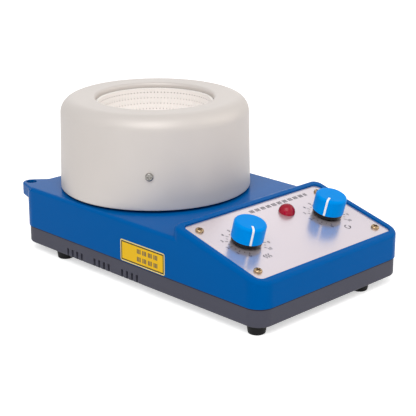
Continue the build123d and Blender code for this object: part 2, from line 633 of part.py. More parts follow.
# ---------------------------------------------------------------- heating bowl and insulation
def heating_bowl():
    """Sewn glass-fibre bowl with its heating wire, and a flange tucked under the pot's lip."""
    outer_r = BOWL_R + BOWL_THICK
    return POT * turned(
        CenterArc((0, Z_BOWL), outer_r, -90, 90),
        Line((outer_r, Z_BOWL), (BOWL_FLANGE_R, Z_BOWL)),
        Line((BOWL_FLANGE_R, Z_BOWL), (BOWL_FLANGE_R, Z_FLANGE_TOP)),
        Line((BOWL_FLANGE_R, Z_FLANGE_TOP), (outer_r, Z_FLANGE_TOP)),
        CenterArc((outer_r, Z_BOWL), BOWL_THICK, 90, 90),
        CenterArc((0, Z_BOWL), BOWL_R, -90, 90),
        Line((0, Z_BOWL - BOWL_R), (0, Z_BOWL - outer_r)),
    )


def insulation():
    """Felt block: seat for the bowl, pocket for the rotor, channels for tabs, bolts and leads."""
    seat_r = BOWL_R + BOWL_THICK + SEAT_GAP
    z_bend = Z_TOP - POT_SHOULDER_BEND
    top = Z_TOP - POT_SHEET - SEAT_GAP
    step_r = BOWL_FLANGE_R + SEAT_GAP
    body = POT * turned(
        Line((ROTOR_POCKET_R, Z_BASE_TOP), (INSULATION_R, Z_BASE_TOP)),
        Line((INSULATION_R, Z_BASE_TOP), (INSULATION_R, z_bend)),
        Line((INSULATION_R, z_bend), (POT_FLAT_R, top)),
        Line((POT_FLAT_R, top), (step_r, top)),
        Line((step_r, top), (step_r, Z_BOWL)),
        Line((step_r, Z_BOWL), (seat_r, Z_BOWL)),
        CenterArc((0, Z_BOWL), seat_r, -90, 90),
        Line((0, Z_BOWL - seat_r), (0, Z_POCKET)),
        Line((0, Z_POCKET), (ROTOR_POCKET_R, Z_POCKET)),
        Line((ROTOR_POCKET_R, Z_POCKET), (ROTOR_POCKET_R, Z_BASE_TOP)),
    )
    inner = tab_face() - BASE_SHEET - NUT_THICK - 2
    half = TAB_WIDTH / 2 + SEAT_GAP
    channel_top = Z_POT_SCREW + TAB_ABOVE_SCREW + SEAT_GAP
    for angle in POT_SCREW_ANGLES:
        channel = block((inner, POT_R), (-half, half), (Z_BASE, channel_top))
        body -= POT * Rot(0, 0, angle) * channel
    for place in BASE_BOLTS:
        body -= place * cylinder(SPACER_R, Z_BASE, Z_BASE_TOP + HEAD_HEIGHT + SEAT_GAP)
    for place in LEADS:
        body -= place * cylinder(LEAD_R + SEAT_GAP, Z_BASE, Z_BOWL)
    bush_top = Z_BASE_TOP + LEAD_BUSH_THICK
    return body - Pos(0, LEAD_Y, 0) * cylinder(LEAD_BUSH_R + SEAT_GAP, Z_BASE, bush_top)


def heater_leads():
    """Sleeved leads, straight down from the bowl to the terminal block."""
    ball = POT * Pos(0, 0, Z_BOWL) * Sphere(BOWL_R + BOWL_THICK)
    foot_of_well = Z_FLOOR + BLOCK_HEIGHT - BLOCK_WELL
    lead = cylinder(LEAD_R, foot_of_well, Z_BOWL)
    return Compound([place * lead - ball for place in LEADS])


def lead_bush():
    """Ceramic bush that carries the leads through deck and base plate."""
    body = cylinder(LEAD_BUSH_R - FIT_GAP, Z_CEILING, Z_BASE_TOP)
    body += cylinder(LEAD_BUSH_R, Z_DECK, Z_BASE)
    body = Pos(0, LEAD_Y, 0) * body
    for place in LEADS:
        body -= place * cylinder(LEAD_R, Z_CEILING - 1, Z_BASE_TOP + 1)
    return body


def terminal_block():
    """Ceramic block on the tray floor, with a well for each lead and a groove between them."""
    top = Z_FLOOR + BLOCK_HEIGHT
    half_w = BLOCK_WIDTH / 2
    half_d = BLOCK_DEPTH / 2
    body = block((-half_w, half_w), (LEAD_Y - half_d, LEAD_Y + half_d), (Z_FLOOR, top))
    groove = (-BLOCK_SLOT / 2, BLOCK_SLOT / 2)
    body -= block(groove, (LEAD_Y - half_d - 1, LEAD_Y + half_d + 1), (top - BLOCK_HEIGHT / 3, top + 1))
    for place in LEADS:
        body -= place * cylinder(LEAD_R, top - BLOCK_WELL, top + 1)
    return body


# ---------------------------------------------------------------- stirrer
def stir_motor():
    """Motor can with a register boss and a blind bearing bore for the shaft."""
    z_low = Z_MOTOR - MOTOR_HEIGHT
    can = fillet(cylinder(MOTOR_R, z_low, Z_MOTOR).edges(), MOTOR_EDGE_R)
    can += cylinder(MOTOR_BOSS_R, Z_MOTOR, Z_BRACKET)
    can -= cylinder(SHAFT_R + RUNNING_GAP, z_low + MOTOR_BORE_FLOOR, Z_BRACKET + 1)
    for dx in (-MOTOR_SCREW_X, MOTOR_SCREW_X):
        can -= Pos(dx, 0, 0) * cylinder(SCREW_R, Z_MOTOR - MOTOR_SCREW_REACH - 1, Z_MOTOR + 1)
    return POT * can


def motor_bracket():
    corner_r = BRACKET_DEPTH / 2 - BRACKET_HOLE_Y
    outline = RectangleRounded(BRACKET_WIDTH, BRACKET_DEPTH, corner_r)
    plate = extrude(Pos(0, 0, Z_MOTOR) * outline, BRACKET_SHEET)
    plate = POT * (plate - cylinder(MOTOR_BOSS_R + FIT_GAP, Z_MOTOR - 1, Z_BRACKET + 1))
    for place in BRACKET_HOLES + MOTOR_SCREWS:
        plate -= place * cylinder(SCREW_R, Z_MOTOR - 1, Z_BRACKET + 1)
    return plate


def motor_screws():
    one = Pos(0, 0, Z_BRACKET) * screw(HEAD_R, HEAD_HEIGHT, SCREW_R, BRACKET_SHEET + MOTOR_SCREW_REACH)
    return several(MOTOR_SCREWS, one)


def bracket_screws():
    upwards = Rot(180, 0, 0) * screw(HEAD_R, HEAD_HEIGHT, SCREW_R, BRACKET_SHEET + BRACKET_DROP)
    return several(BRACKET_HOLES, Pos(0, 0, Z_MOTOR) * upwards)


def motor_shaft():
    low = Z_MOTOR - MOTOR_HEIGHT + MOTOR_BORE_FLOOR + SEAT_GAP
    return POT * cylinder(SHAFT_R, low, Z_CARRIER + CARRIER_THICK)


def magnet_carrier():
    """Flat bar with round ends, pressed on the motor shaft."""
    bar = extrude(Pos(0, 0, Z_CARRIER) * SlotOverall(CARRIER_LENGTH, CARRIER_WIDTH), CARRIER_THICK)
    return POT * (bar - cylinder(SHAFT_R, Z_CARRIER - 1, Z_CARRIER + CARRIER_THICK + 1))


def stirring_magnets():
    low = Z_CARRIER + CARRIER_THICK
    one = cylinder(MAGNET_R, low, low + MAGNET_HEIGHT)
    return several([POT * Pos(dx, 0, 0) for dx in (-MAGNET_X, MAGNET_X)], one)


# ---------------------------------------------------------------- control panel
def control_panel():
    """Aluminium face plate with a fine bevel round its face."""
    outline = RectangleRounded(PANEL_WIDTH, PANEL_LENGTH, PANEL_CORNER_R)
    plate = extrude(outline, PANEL_THICK)
    plate = chamfer(plate.edges().group_by(Axis.Z)[-1], PANEL_EDGE)
    plate = PANEL * Pos(0, PANEL_LENGTH / 2, -PANEL_THICK) * plate
    for place in PANEL_SCREWS:
        plate -= place * cylinder(SCREW_R, -PANEL_THICK - 1, 1)
    for place in (HEAT_KNOB, SPEED_KNOB):
        plate -= place * cylinder(POT_BUSHING_R, -PANEL_THICK - 1, 1)
    return plate - LAMP * cylinder(LAMP_BODY_R, -PANEL_THICK - 1, 1)


def panel_screws():
    one = screw(HEAD_R, HEAD_HEIGHT, SCREW_R, PANEL_THICK + 2 * WALL)
    return several(PANEL_SCREWS, one)


def indicator_lens():
    """Domed lens with a short collar and a stem in the lamp body."""
    collar = LENS_COLLAR
    return LAMP * turned(
        Line((0, -LENS_STEM_LENGTH), (LENS_STEM_R, -LENS_STEM_LENGTH)),
        Line((LENS_STEM_R, -LENS_STEM_LENGTH), (LENS_STEM_R, 0)),
        Line((LENS_STEM_R, 0), (LENS_R, 0)),
        Line((LENS_R, 0), (LENS_R, collar)),
        TangentArc((0, LENS_HEIGHT), (LENS_R, collar), tangent=(1, 0)),
        Line((0, LENS_HEIGHT), (0, -LENS_STEM_LENGTH)),
    )


def indicator_body():
    body = cylinder(LAMP_BODY_R, -LAMP_BODY_LENGTH, 0)
    return LAMP * (body - cylinder(LENS_STEM_R, -LENS_STEM_LENGTH, 1))


def indicator_nut():
    nut = hexagon_nut(LAMP_NUT_FLATS, LAMP_NUT_THICK, LAMP_BODY_R)
    return LAMP * Pos(0, 0, BEZEL_UNDERSIDE - LAMP_NUT_THICK) * nut


# ---------------------------------------------------------------- knobs and potentiometers
def potentiometer():
    """Round can with a threaded bushing and three solder tags."""
    low = BEZEL_UNDERSIDE - POT_CAN_DEPTH
    body = cylinder(POT_CAN_R, low, BEZEL_UNDERSIDE)
    body += cylinder(POT_BUSHING_R, BEZEL_UNDERSIDE, POT_BUSHING_TOP)
    tag = block((-POT_TAG_WIDTH / 2, POT_TAG_WIDTH / 2), (-POT_CAN_R - POT_TAG_LENGTH, 0), (0, POT_TAG_THICK))
    for step in (-1, 0, 1):
        body += Pos(step * POT_TAG_PITCH, 0, low + POT_TAG_THICK) * tag
    bore_floor = BEZEL_UNDERSIDE - DIAL_SHAFT_TAIL - SEAT_GAP
    return body - cylinder(DIAL_SHAFT_R + RUNNING_GAP, bore_floor, CAP_TOP)


def d_section(low, high):
    """Round bar with one flat, the flat on the +Y side."""
    flat = DIAL_SHAFT_R - DIAL_SHAFT_FLAT
    return cylinder(DIAL_SHAFT_R, low, high) - block((-CAP_R, CAP_R), (flat, CAP_R), (low - 1, high + 1))


def dial_shaft():
    tail = BEZEL_UNDERSIDE - DIAL_SHAFT_TAIL
    return cylinder(DIAL_SHAFT_R, tail, KNOB_POCKET_TOP) + d_section(KNOB_POCKET_TOP, DIAL_SHAFT_TOP)


def knob_bush():
    """Brass insert with a D bore, moulded into the knob."""
    sleeve = cylinder(BUSH_R, KNOB_POCKET_TOP, DIAL_SHAFT_TOP)
    return sleeve - d_section(KNOB_POCKET_TOP - 1, DIAL_SHAFT_TOP + 1)


def knob_skirt():
    """Black lower body: flange, stem inside the cap, seat for the insert, pocket for the nut."""
    stem_r = CAP_R - CAP_WALL - FIT_GAP / 2
    stem_top = CAP_TOP - CAP_ROOF
    flange_top = CAP_BOTTOM - FIT_GAP
    return turned(
        Polyline(
            (KNOB_POCKET_R, SKIRT_BOTTOM), (SKIRT_R - SKIRT_BEVEL, SKIRT_BOTTOM),
            (SKIRT_R, SKIRT_BOTTOM + SKIRT_BEVEL), (SKIRT_R, flange_top),
            (stem_r, flange_top), (stem_r, stem_top), (0, stem_top), (0, DIAL_SHAFT_TOP),
            (BUSH_R, DIAL_SHAFT_TOP), (BUSH_R, KNOB_POCKET_TOP), (KNOB_POCKET_R, KNOB_POCKET_TOP),
            close=True,
        )
    )


def cap_form(inset):
    body = cylinder(CAP_R - inset, CAP_BOTTOM, CAP_TOP - inset)
    return fillet(body.edges().group_by(Axis.Z)[-1], CAP_EDGE_R - inset)


def knob_pointer():
    """White line let into the cap, from the top face over the edge and down the side."""
    strip = block((-POINTER_WIDTH / 2, POINTER_WIDTH / 2), (POINTER_START, CAP_R), (CAP_BOTTOM, CAP_TOP))
    return (cap_form(0) - cap_form(POINTER_DEPTH)) & strip


def knob_cap():
    hollow = cylinder(CAP_R - CAP_WALL, CAP_BOTTOM - 1, CAP_TOP - CAP_ROOF)
    return cap_form(0) - hollow - knob_pointer()


def dial(prefix, place, pointer_angle):
    """One control: fixed potentiometer and nut, and the knob that turns with the shaft."""
    turned_place = place * Rot(0, 0, pointer_angle)
    nut = hexagon_nut(DIAL_NUT_FLATS, DIAL_NUT_THICK, POT_BUSHING_R)
    return {
        prefix + "_potentiometer": place * potentiometer(),
        prefix + "_dial_nut": place * nut,
        prefix + "_dial_shaft": turned_place * dial_shaft(),
        prefix + "_knob_bush": turned_place * knob_bush(),
        prefix + "_knob_skirt": turned_place * knob_skirt(),
        prefix + "_knob_cap": turned_place * knob_cap(),
        prefix + "_knob_pointer": turned_place * knob_pointer(),
    }


# ---------------------------------------------------------------- mains inlet
def power_inlet():
    """Recessed three-pin inlet with a screw flange on the rear wall."""
    flange = RectangleRounded(INLET_FLANGE_WIDTH, INLET_FLANGE_HEIGHT, INLET_CORNER_R)
    body = extrude(flange, INLET_FLANGE_THICK)
    body += Pos(0, 0, -INLET_BODY_DEPTH / 2) * Box(INLET_BODY_WIDTH, INLET_BODY_HEIGHT, INLET_BODY_DEPTH)
    mouth = Rectangle(INLET_SOCKET_WIDTH, INLET_SOCKET_HEIGHT)
    mouth = chamfer(mouth.vertices().group_by(Axis.Y)[-1], INLET_SOCKET_HEIGHT / 3)
    socket = extrude(Pos(0, 0, INLET_FLANGE_THICK - INLET_SOCKET_DEPTH) * mouth, INLET_SOCKET_DEPTH)
    for dx in (-1, 1):
        body -= Pos(dx * INLET_SCREW_PITCH / 2, 0, 0) * cylinder(SCREW_R, -1, INLET_FLANGE_THICK + 1)
    return INLET * (body - socket - inlet_pin_bars())


def inlet_pin_bars():
    """Three flat pins, from their tips in the socket to the tags behind the body."""
    tip = INLET_FLANGE_THICK - INLET_PIN_SHORT
    tail = -INLET_BODY_DEPTH - INLET_TAG
    bars = []
    for side, dy in ((-1, -INLET_PIN_RISE), (0, INLET_PIN_RISE), (1, -INLET_PIN_RISE)):
        dx = side * INLET_PIN_SPREAD
        x = (dx - INLET_PIN_THICK / 2, dx + INLET_PIN_THICK / 2)
        y = (dy - INLET_PIN_WIDTH / 2, dy + INLET_PIN_WIDTH / 2)
        bars.append(block(x, y, (tail, tip)))
    return Compound(bars)


def inlet_pins():
    return INLET * inlet_pin_bars()


def inlet_screws():
    return several(INLET_SCREWS, screw(HEAD_R, HEAD_HEIGHT, SCREW_R, INLET_FLANGE_THICK + WALL))


# ---------------------------------------------------------------- circuit board
def circuit_board():
    plate = Pos(0, BOARD_Y, Z_BOARD + BOARD_THICK / 2) * Box(BOARD_WIDTH, BOARD_DEPTH, BOARD_THICK)
    for place in BOARD_HOLES:
        plate -= place * cylinder(SCREW_R, Z_BOARD - 1, Z_BOARD_TOP + 1)
    return plate


def board_screws():
    one = Pos(0, 0, Z_BOARD_TOP) * screw(HEAD_R, HEAD_HEIGHT, SCREW_R, BOARD_THICK + BOARD_PILLAR - 1)
    return several(BOARD_HOLES, one)


def on_board(place):
    """Frame on the board's top face at a place measured from its centre."""
    return Pos(place[0], BOARD_Y + place[1], Z_BOARD_TOP)


def heat_sink():
    """Extruded aluminium sink: base with upright fins."""
    body = block((-SINK_WIDTH / 2, SINK_WIDTH / 2), (0, SINK_BASE), (0, SINK_HEIGHT))
    pitch = (SINK_WIDTH - FIN_THICK) / (SINK_FINS - 1)
    for fin in range(SINK_FINS):
        x = -SINK_WIDTH / 2 + fin * pitch
        body += block((x, x + FIN_THICK), (0, SINK_DEPTH), (0, SINK_HEIGHT))
    return on_board(SINK_AT) * body


def triac():
    """Power switch, its back against the heat sink."""
    width, depth, height = TRIAC_SIZE
    return on_board(SINK_AT) * block((-width / 2, width / 2), (-depth, 0), (0, height))


def transformer():
    """Laminated core with the wound bobbin through it."""
    coil = fillet(Box(*COIL_SIZE).edges().filter_by(Axis.Z), COIL_EDGE_R)
    body = Pos(0, 0, CORE_SIZE[2] / 2) * Box(*CORE_SIZE) + Pos(0, 0, COIL_SIZE[2] / 2) * coil
    return on_board(TRANSFORMER_AT) * body


def capacitor():
    return on_board(CAPACITOR_AT) * cylinder(CAPACITOR_R, 0, CAPACITOR_HEIGHT)


def glass_fuse():
    """Cartridge fuse lying along X in its clips."""
    tube = Rot(0, 90, 0) * Cylinder(FUSE_R, FUSE_LENGTH)
    return on_board(FUSE_AT) * Pos(0, 0, FUSE_R + FUSE_RISE) * tube


def fuse_clips():
    """Two spring clips, each a block hollowed round the fuse's cap."""
    half_w = FUSE_R + CLIP_SIDE
    axis_z = FUSE_R + FUSE_RISE
    clip = block((-FUSE_CAP / 2, FUSE_CAP / 2), (-half_w, half_w), (0, CLIP_RISE))
    clip -= Pos(0, 0, axis_z) * Rot(0, 90, 0) * Cylinder(FUSE_R, 2 * FUSE_CAP)
    clip -= block((-FUSE_CAP, FUSE_CAP), (-CLIP_MOUTH / 2, CLIP_MOUTH / 2), (axis_z, CLIP_RISE + 1))
    reach = (FUSE_LENGTH - FUSE_CAP) / 2
    return on_board(FUSE_AT) * several([Pos(-reach, 0, 0), Pos(reach, 0, 0)], clip)


# ---------------------------------------------------------------- build
parts = {
    "upper_housing": upper_housing(),
    "lower_tray": lower_tray(),
    "case_screws": case_screws(),
    "foot_screws": foot_screws(),
    "side_label": side_label(),
    "pot_shell": pot_shell(),
    "pot_base_plate": pot_base_plate(),
    "pot_screws": pot_screws(),
    "pot_screw_nuts": pot_screw_nuts(),
    "base_spacers": base_spacers(),
    "base_bolts": base_bolts(),
    "base_nuts": base_nuts(),
    "heating_bowl": heating_bowl(),
    "insulation": insulation(),
    "heater_leads": heater_leads(),
    "lead_bush": lead_bush(),
    "terminal_block": terminal_block(),
    "stir_motor": stir_motor(),
    "motor_bracket": motor_bracket(),
    "motor_screws": motor_screws(),
    "bracket_screws": bracket_screws(),
    "motor_shaft": motor_shaft(),
    "magnet_carrier": magnet_carrier(),
    "stirring_magnets": stirring_magnets(),
    "control_panel": control_panel(),
    "panel_screws": panel_screws(),
    "indicator_lens": indicator_lens(),
    "indicator_body": indicator_body(),
    "indicator_nut": indicator_nut(),
    "power_inlet": power_inlet(),
    "inlet_pins": inlet_pins(),
    "inlet_screws": inlet_screws(),
    "circuit_board": circuit_board(),
    "board_screws": board_screws(),
    "heat_sink": heat_sink(),
    "triac": triac(),
    "transformer": transformer(),
    "capacitor": capacitor(),
    "glass_fuse": glass_fuse(),
    "fuse_clips": fuse_clips(),
}
for name, place in FEET.items():
    parts[name] = place * foot()
parts.update(dial("heat", HEAT_KNOB, HEAT_POINTER_ANGLE))
parts.update(dial("speed", SPEED_KNOB, SPEED_POINTER_ANGLE))

for name, shape in parts.items():
    export_step(shape, f"parts/{name}.step")
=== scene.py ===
import json
import math

import bmesh
import bpy
import numpy as np
from bpy.props import FloatProperty, FloatVectorProperty, PointerProperty
from bpy.types import Operator, Panel, PropertyGroup
from mathutils import Matrix, Vector


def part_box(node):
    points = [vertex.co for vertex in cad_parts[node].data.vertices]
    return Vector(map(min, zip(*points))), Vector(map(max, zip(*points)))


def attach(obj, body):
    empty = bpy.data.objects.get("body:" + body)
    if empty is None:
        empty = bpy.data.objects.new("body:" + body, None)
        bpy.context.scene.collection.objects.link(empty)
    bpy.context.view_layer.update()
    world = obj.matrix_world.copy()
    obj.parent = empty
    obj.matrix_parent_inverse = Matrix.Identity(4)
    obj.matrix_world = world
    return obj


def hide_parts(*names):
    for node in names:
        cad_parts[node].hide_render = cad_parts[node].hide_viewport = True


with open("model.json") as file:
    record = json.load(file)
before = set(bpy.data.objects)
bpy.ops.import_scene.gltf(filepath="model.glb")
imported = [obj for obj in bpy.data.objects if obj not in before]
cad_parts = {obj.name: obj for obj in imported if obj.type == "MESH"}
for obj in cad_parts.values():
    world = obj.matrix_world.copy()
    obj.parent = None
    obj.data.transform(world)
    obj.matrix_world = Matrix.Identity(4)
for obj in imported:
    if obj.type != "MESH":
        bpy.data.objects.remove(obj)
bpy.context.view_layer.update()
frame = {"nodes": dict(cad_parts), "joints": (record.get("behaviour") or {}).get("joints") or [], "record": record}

bl_info = {
    "name": "Stirring heating mantle",
    "version": (1, 0, 0),
    "blender": (4, 5, 0),
    "location": "3D View > Sidebar > Mantle",
    "description": "Surfaces, finishes and studio of a laboratory heating mantle with magnetic stirrer",
    "category": "Add Mesh",
}

NODES = frame["nodes"]
MM = 0.001


# ---------------------------------------------------------------- places taken from the frame
def joint_place(name):
    """Point and outward direction of a joint's axis."""
    joint = next(j for j in frame["joints"] if j["name"] == name)
    return Vector(joint["pos_m"]), -Vector(joint["axis"])


POT_LOW, POT_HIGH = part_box("pot_shell")
POT_AXIS = (POT_LOW + POT_HIGH) / 2
POT_RADIUS = (POT_HIGH.x - POT_LOW.x) / 2
BOWL_LOW, BOWL_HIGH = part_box("heating_bowl")
HEAT_DIAL, PANEL_OUT = joint_place("heat_knob_turn")
SPEED_DIAL = joint_place("speed_knob_turn")[0]
PANEL_UP = PANEL_OUT.cross(Vector((1, 0, 0)))
LABEL_LOW, LABEL_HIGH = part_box("side_label")
LABEL_AXIS = (LABEL_LOW + LABEL_HIGH) / 2
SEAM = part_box("upper_housing")[0].z  # underside of the housing's wall


# ---------------------------------------------------------------- fixed sizes of print, sewing and studio
SEAM_SHADE_HEIGHT = 1.0 * MM  # height of the painted shade along the tray's upper edge, for the shadow under the housing's overhang
FRAME_INSET = 1.3 * MM  # edge of the label to the middle of its printed frame
FRAME_HALF = 0.5 * MM  # half the width of that frame
INK = 0.02 * MM  # thickness of the ink

# The rest of the print is in millimetres.
BAR_PITCH = 1.45
BAR_WIDTH = 0.9
BAR_TALL = 3.4
TITLE_ROW = (-9, 51, 28.5)  # the panel's row of bars: from and to, across, and how far up
LABEL_ROWS = ((-5, 16, -2.9), (-5, 16, 2.9))  # the label's rows, as above
TICK_RING = 12.6  # radius on which the ticks start
TICK_LONG, TICK_SHORT, TICK_WIDTH = 2.2, 1.3, 0.6
# Signs below the dials, their places across and up from the dial's middle: the foot of the middle
# wave, the waves' height, swing, pitch and number of turns, and the ring with its arrowhead.
SIGN_LINE = 0.7
WAVE_FOOT, WAVE_TALL, WAVE_SWING, WAVE_PITCH, WAVE_TURNS = (1, -21.6), 4.2, 0.6, 2.2, 1.2
RING_CENTRE, RING_RADIUS, ARROW_WIDTH = (1, -19.5), 2.2, 2.0

# Dial scale: degrees left of straight up where it starts, its range in degrees, and its steps.
SCALE_START, SCALE_RANGE, SCALE_STEPS = 145, 290, 20

POT_COLUMNS, BOWL_COLUMNS = 288, 240  # faces round the pot and round the bowl
RING_POINTS = 8  # points of the bowl's section from one ring of wire to the next
STITCH_REACH = 0.27  # half the width of a stitch, as a share of the pitch of the rings
STITCH_LIFT = 0.3  # how far the thread's middle stands off the cloth, as a share of the thread
STITCH_POINTS = 7  # points along each stitch
EDGE_SPAN = (50, 200)  # degrees of the hem's round top that its stitches cover, counted from outside

# Lamps: name, place and aim in metres, width in metres, power in watts, tint.
LAMPS = (
    ("key", (-0.88, -0.66, 1.42), (0, 0, 0.05), 1.2, 14.5, (1.0, 1.0, 1.0)),
    ("fill", (1.1, -0.9, 0.8), (0, 0, 0.05), 1.0, 4.0, (1.0, 0.93, 0.84)),
    ("rim", (1.2, 1.45, 0.65), (0, 0.05, 0.05), 1.4, 3.2, (1.0, 1.0, 1.0)),
)
SKY_LIGHT, SKY_SEEN = 0.56, 1.0  # strength of the surroundings as light, and where they are seen
FLOOR_GLOW = 0.55  # lifts the floor to white where it is seen
FLOOR_HALF, FLOOR_POINTS = 6.0, 13  # half the floor's width in metres, and points along each side
# Camera: place and aim in metres, lens and sensor in millimetres, shift as a share of the frame.
CAMERA_PLACE, CAMERA_AIM = (-0.61399, -0.62528, 0.33157), (0, -0.00801, 0.056)
CAMERA_LENS, CAMERA_SENSOR, CAMERA_SHIFT = 106.38, 36.0, (-0.00207, -0.0347)


# ---------------------------------------------------------------- colours and nodes
def linear(tone):
    """Linear RGBA of an sRGB hex colour."""
    parts = [int(tone[i:i + 2], 16) / 255 for i in (1, 3, 5)]
    return tuple(c / 12.92 if c <= 0.04045 else ((c + 0.055) / 1.055) ** 2.4 for c in parts) + (1.0,)


def scaled(colour, share):
    """A colour made lighter or darker by a share."""
    return tuple(min(1.0, c * share) for c in colour[:3]) + (1.0,)


def add(tree, kind, values=None, links=None, **settings):
    """One node: its settings, its socket values, and the sockets that feed it."""
    made = tree.nodes.new(kind)
    for name, value in settings.items():
        setattr(made, name, value)
    for socket, value in (values or {}).items():
        made.inputs[socket].default_value = value
    for socket, source in (links or {}).items():
        tree.links.new(source, made.inputs[socket])
    return made


def new_tree(name):
    """Empty material and its node tree."""
    made = bpy.data.materials.new(name)
    made.use_nodes = True
    made.node_tree.nodes.clear()
    return made, made.node_tree


def shade(tree, colour, height, rough, relief, sockets):
    """Principled surface: a colour socket, a height socket for bump and roughness, values for the rest."""
    gloss = add(tree, "ShaderNodeMapRange", {"To Min": rough[0], "To Max": rough[1]}, {"Value": height})
    bump = add(tree, "ShaderNodeBump", {"Strength": 1.0, "Distance": relief * MM}, {"Height": height})
    links = {"Base Color": colour, "Roughness": gloss.outputs[0], "Normal": bump.outputs[0]}
    surface = add(tree, "ShaderNodeBsdfPrincipled", sockets, links)
    add(tree, "ShaderNodeOutputMaterial", links={"Surface": surface.outputs[0]})


def wandering(tree, coords, colour, drift, patch):
    """Colour socket that wanders by a share to both sides, over patches of a size in mm."""
    patches = add(tree, "ShaderNodeTexNoise", {"Scale": 1 / (patch * MM), "Detail": 3.0}, {"Vector": coords})
    tones = {6: scaled(colour, 1 - drift), 7: scaled(colour, 1 + drift)}
    return add(tree, "ShaderNodeMix", tones, {0: patches.outputs["Fac"]}, data_type="RGBA").outputs[2]


def grained(tree, coords, grain, stretch=(1, 1, 1)):
    """Height socket of a fine noise: its grain in mm, and a scale for each axis, low where drawn out."""
    drawn = add(tree, "ShaderNodeMapping", {"Scale": stretch}, {"Vector": coords}).outputs[0]
    fine = {"Scale": 1 / (grain * MM), "Detail": 2.0}
    return add(tree, "ShaderNodeTexNoise", fine, {"Vector": drawn}).outputs["Fac"]


def plain_finish(name, colour, rough, grain, relief, drift=0.05, patch=30.0, stretch=(1, 1, 1), **sockets):
    """Common finish: a wandering colour, and a grain that sets bump and roughness.  Sizes in mm."""
    made, tree = new_tree(name)
    coords = add(tree, "ShaderNodeTexCoord").outputs["Object"]
    tone = wandering(tree, coords, colour, drift, patch)
    height = grained(tree, coords, grain, stretch)
    sockets = {key.replace("_", " "): value for key, value in sockets.items()}
    shade(tree, tone, height, rough, relief, sockets)
    return made


# ---------------------------------------------------------------- finishes
def finish_gloss_abs(finish):
    # ABS, injection moulded in a polished tool: saturated blue, soft clear highlights, very
    # faint orange peel.  Its reflections are kept weak and blue, so that white walls don't grey it.
    return plain_finish(
        "ABS_gloss_blue", finish.housing, (0.18, 0.24), 3.0, 0.004, 0.03, 60.0,
        Specular_IOR_Level=0.035, Specular_Tint=finish.housing,
    )


def finish_textured_abs(finish):
    # ABS from a spark-eroded tool: dull dark grey with a fine even grain that kills reflections.
    # The dark band along the tray's upper edge is painted shade, for the shadow under the housing's overhang.
    made, tree = new_tree("ABS_textured_grey")
    coords = add(tree, "ShaderNodeTexCoord").outputs["Object"]
    height = add(tree, "ShaderNodeSeparateXYZ", links={0: coords}).outputs["Z"]
    # Painted shade: the tray's top band, up to the housing's wall, is darkened to a fifth of its colour.
    low = {1: SEAM - SEAM_SHADE_HEIGHT}
    seam_shade = add(tree, "ShaderNodeMath", low, {0: height}, operation="GREATER_THAN").outputs[0]
    field = wandering(tree, coords, finish.tray, 0.05, 30.0)
    tone = add(tree, "ShaderNodeMix", {7: scaled(finish.tray, 0.2)}, {0: seam_shade, 6: field}, data_type="RGBA")
    shade(tree, tone.outputs[2], grained(tree, coords, 0.7), (0.5, 0.66), 0.03, {"Specular IOR Level": 0.2})
    return made


def finish_spun_aluminium(finish):
    # Aluminium, spun and clear lacquered: warm pale satin, long soft highlights, faint turning
    # lines round the axis every 1.2 mm, drawn coarser than the real ones so that they show.
    made, tree = new_tree("Aluminium_spun_satin")
    uv = add(tree, "ShaderNodeUVMap", uv_map="skin").outputs[0]
    coords = add(tree, "ShaderNodeTexCoord").outputs["Object"]
    patches = add(tree, "ShaderNodeTexNoise", {"Scale": 22.0, "Detail": 2.0}, {"Vector": coords})
    tones = {6: scaled(finish.pot, 0.96), 7: scaled(finish.pot, 1.04)}
    tone = add(tree, "ShaderNodeMix", tones, {0: patches.outputs["Fac"]}, data_type="RGBA")
    # 12 to the metre round the pot and 820 to the metre along its section.
    drawn = add(tree, "ShaderNodeMapping", {"Scale": (12.0, 820.0, 1.0)}, {"Vector": uv})
    lines = add(tree, "ShaderNodeTexNoise", {"Scale": 1.0, "Detail": 3.0}, {"Vector": drawn.outputs[0]})
    sockets = {"Metallic": 0.2, "Specular IOR Level": 0.15}
    shade(tree, tone.outputs[2], lines.outputs["Fac"], (0.42, 0.5), 0.006, sockets)
    return made


def finish_brushed_panel(finish):
    # Aluminium sheet, brushed across and clear anodised: bright pinkish silver, hairlines along X
    # (0.5 mm apart here, finer on the real sheet), reflections smeared up and down the slope.
    return plain_finish(
        "Aluminium_brushed_anodised", finish.panel, (0.2, 0.27), 0.5, 0.0012, 0.015, 60.0,
        stretch=(0.01, 1, 1), Metallic=0.7,
    )


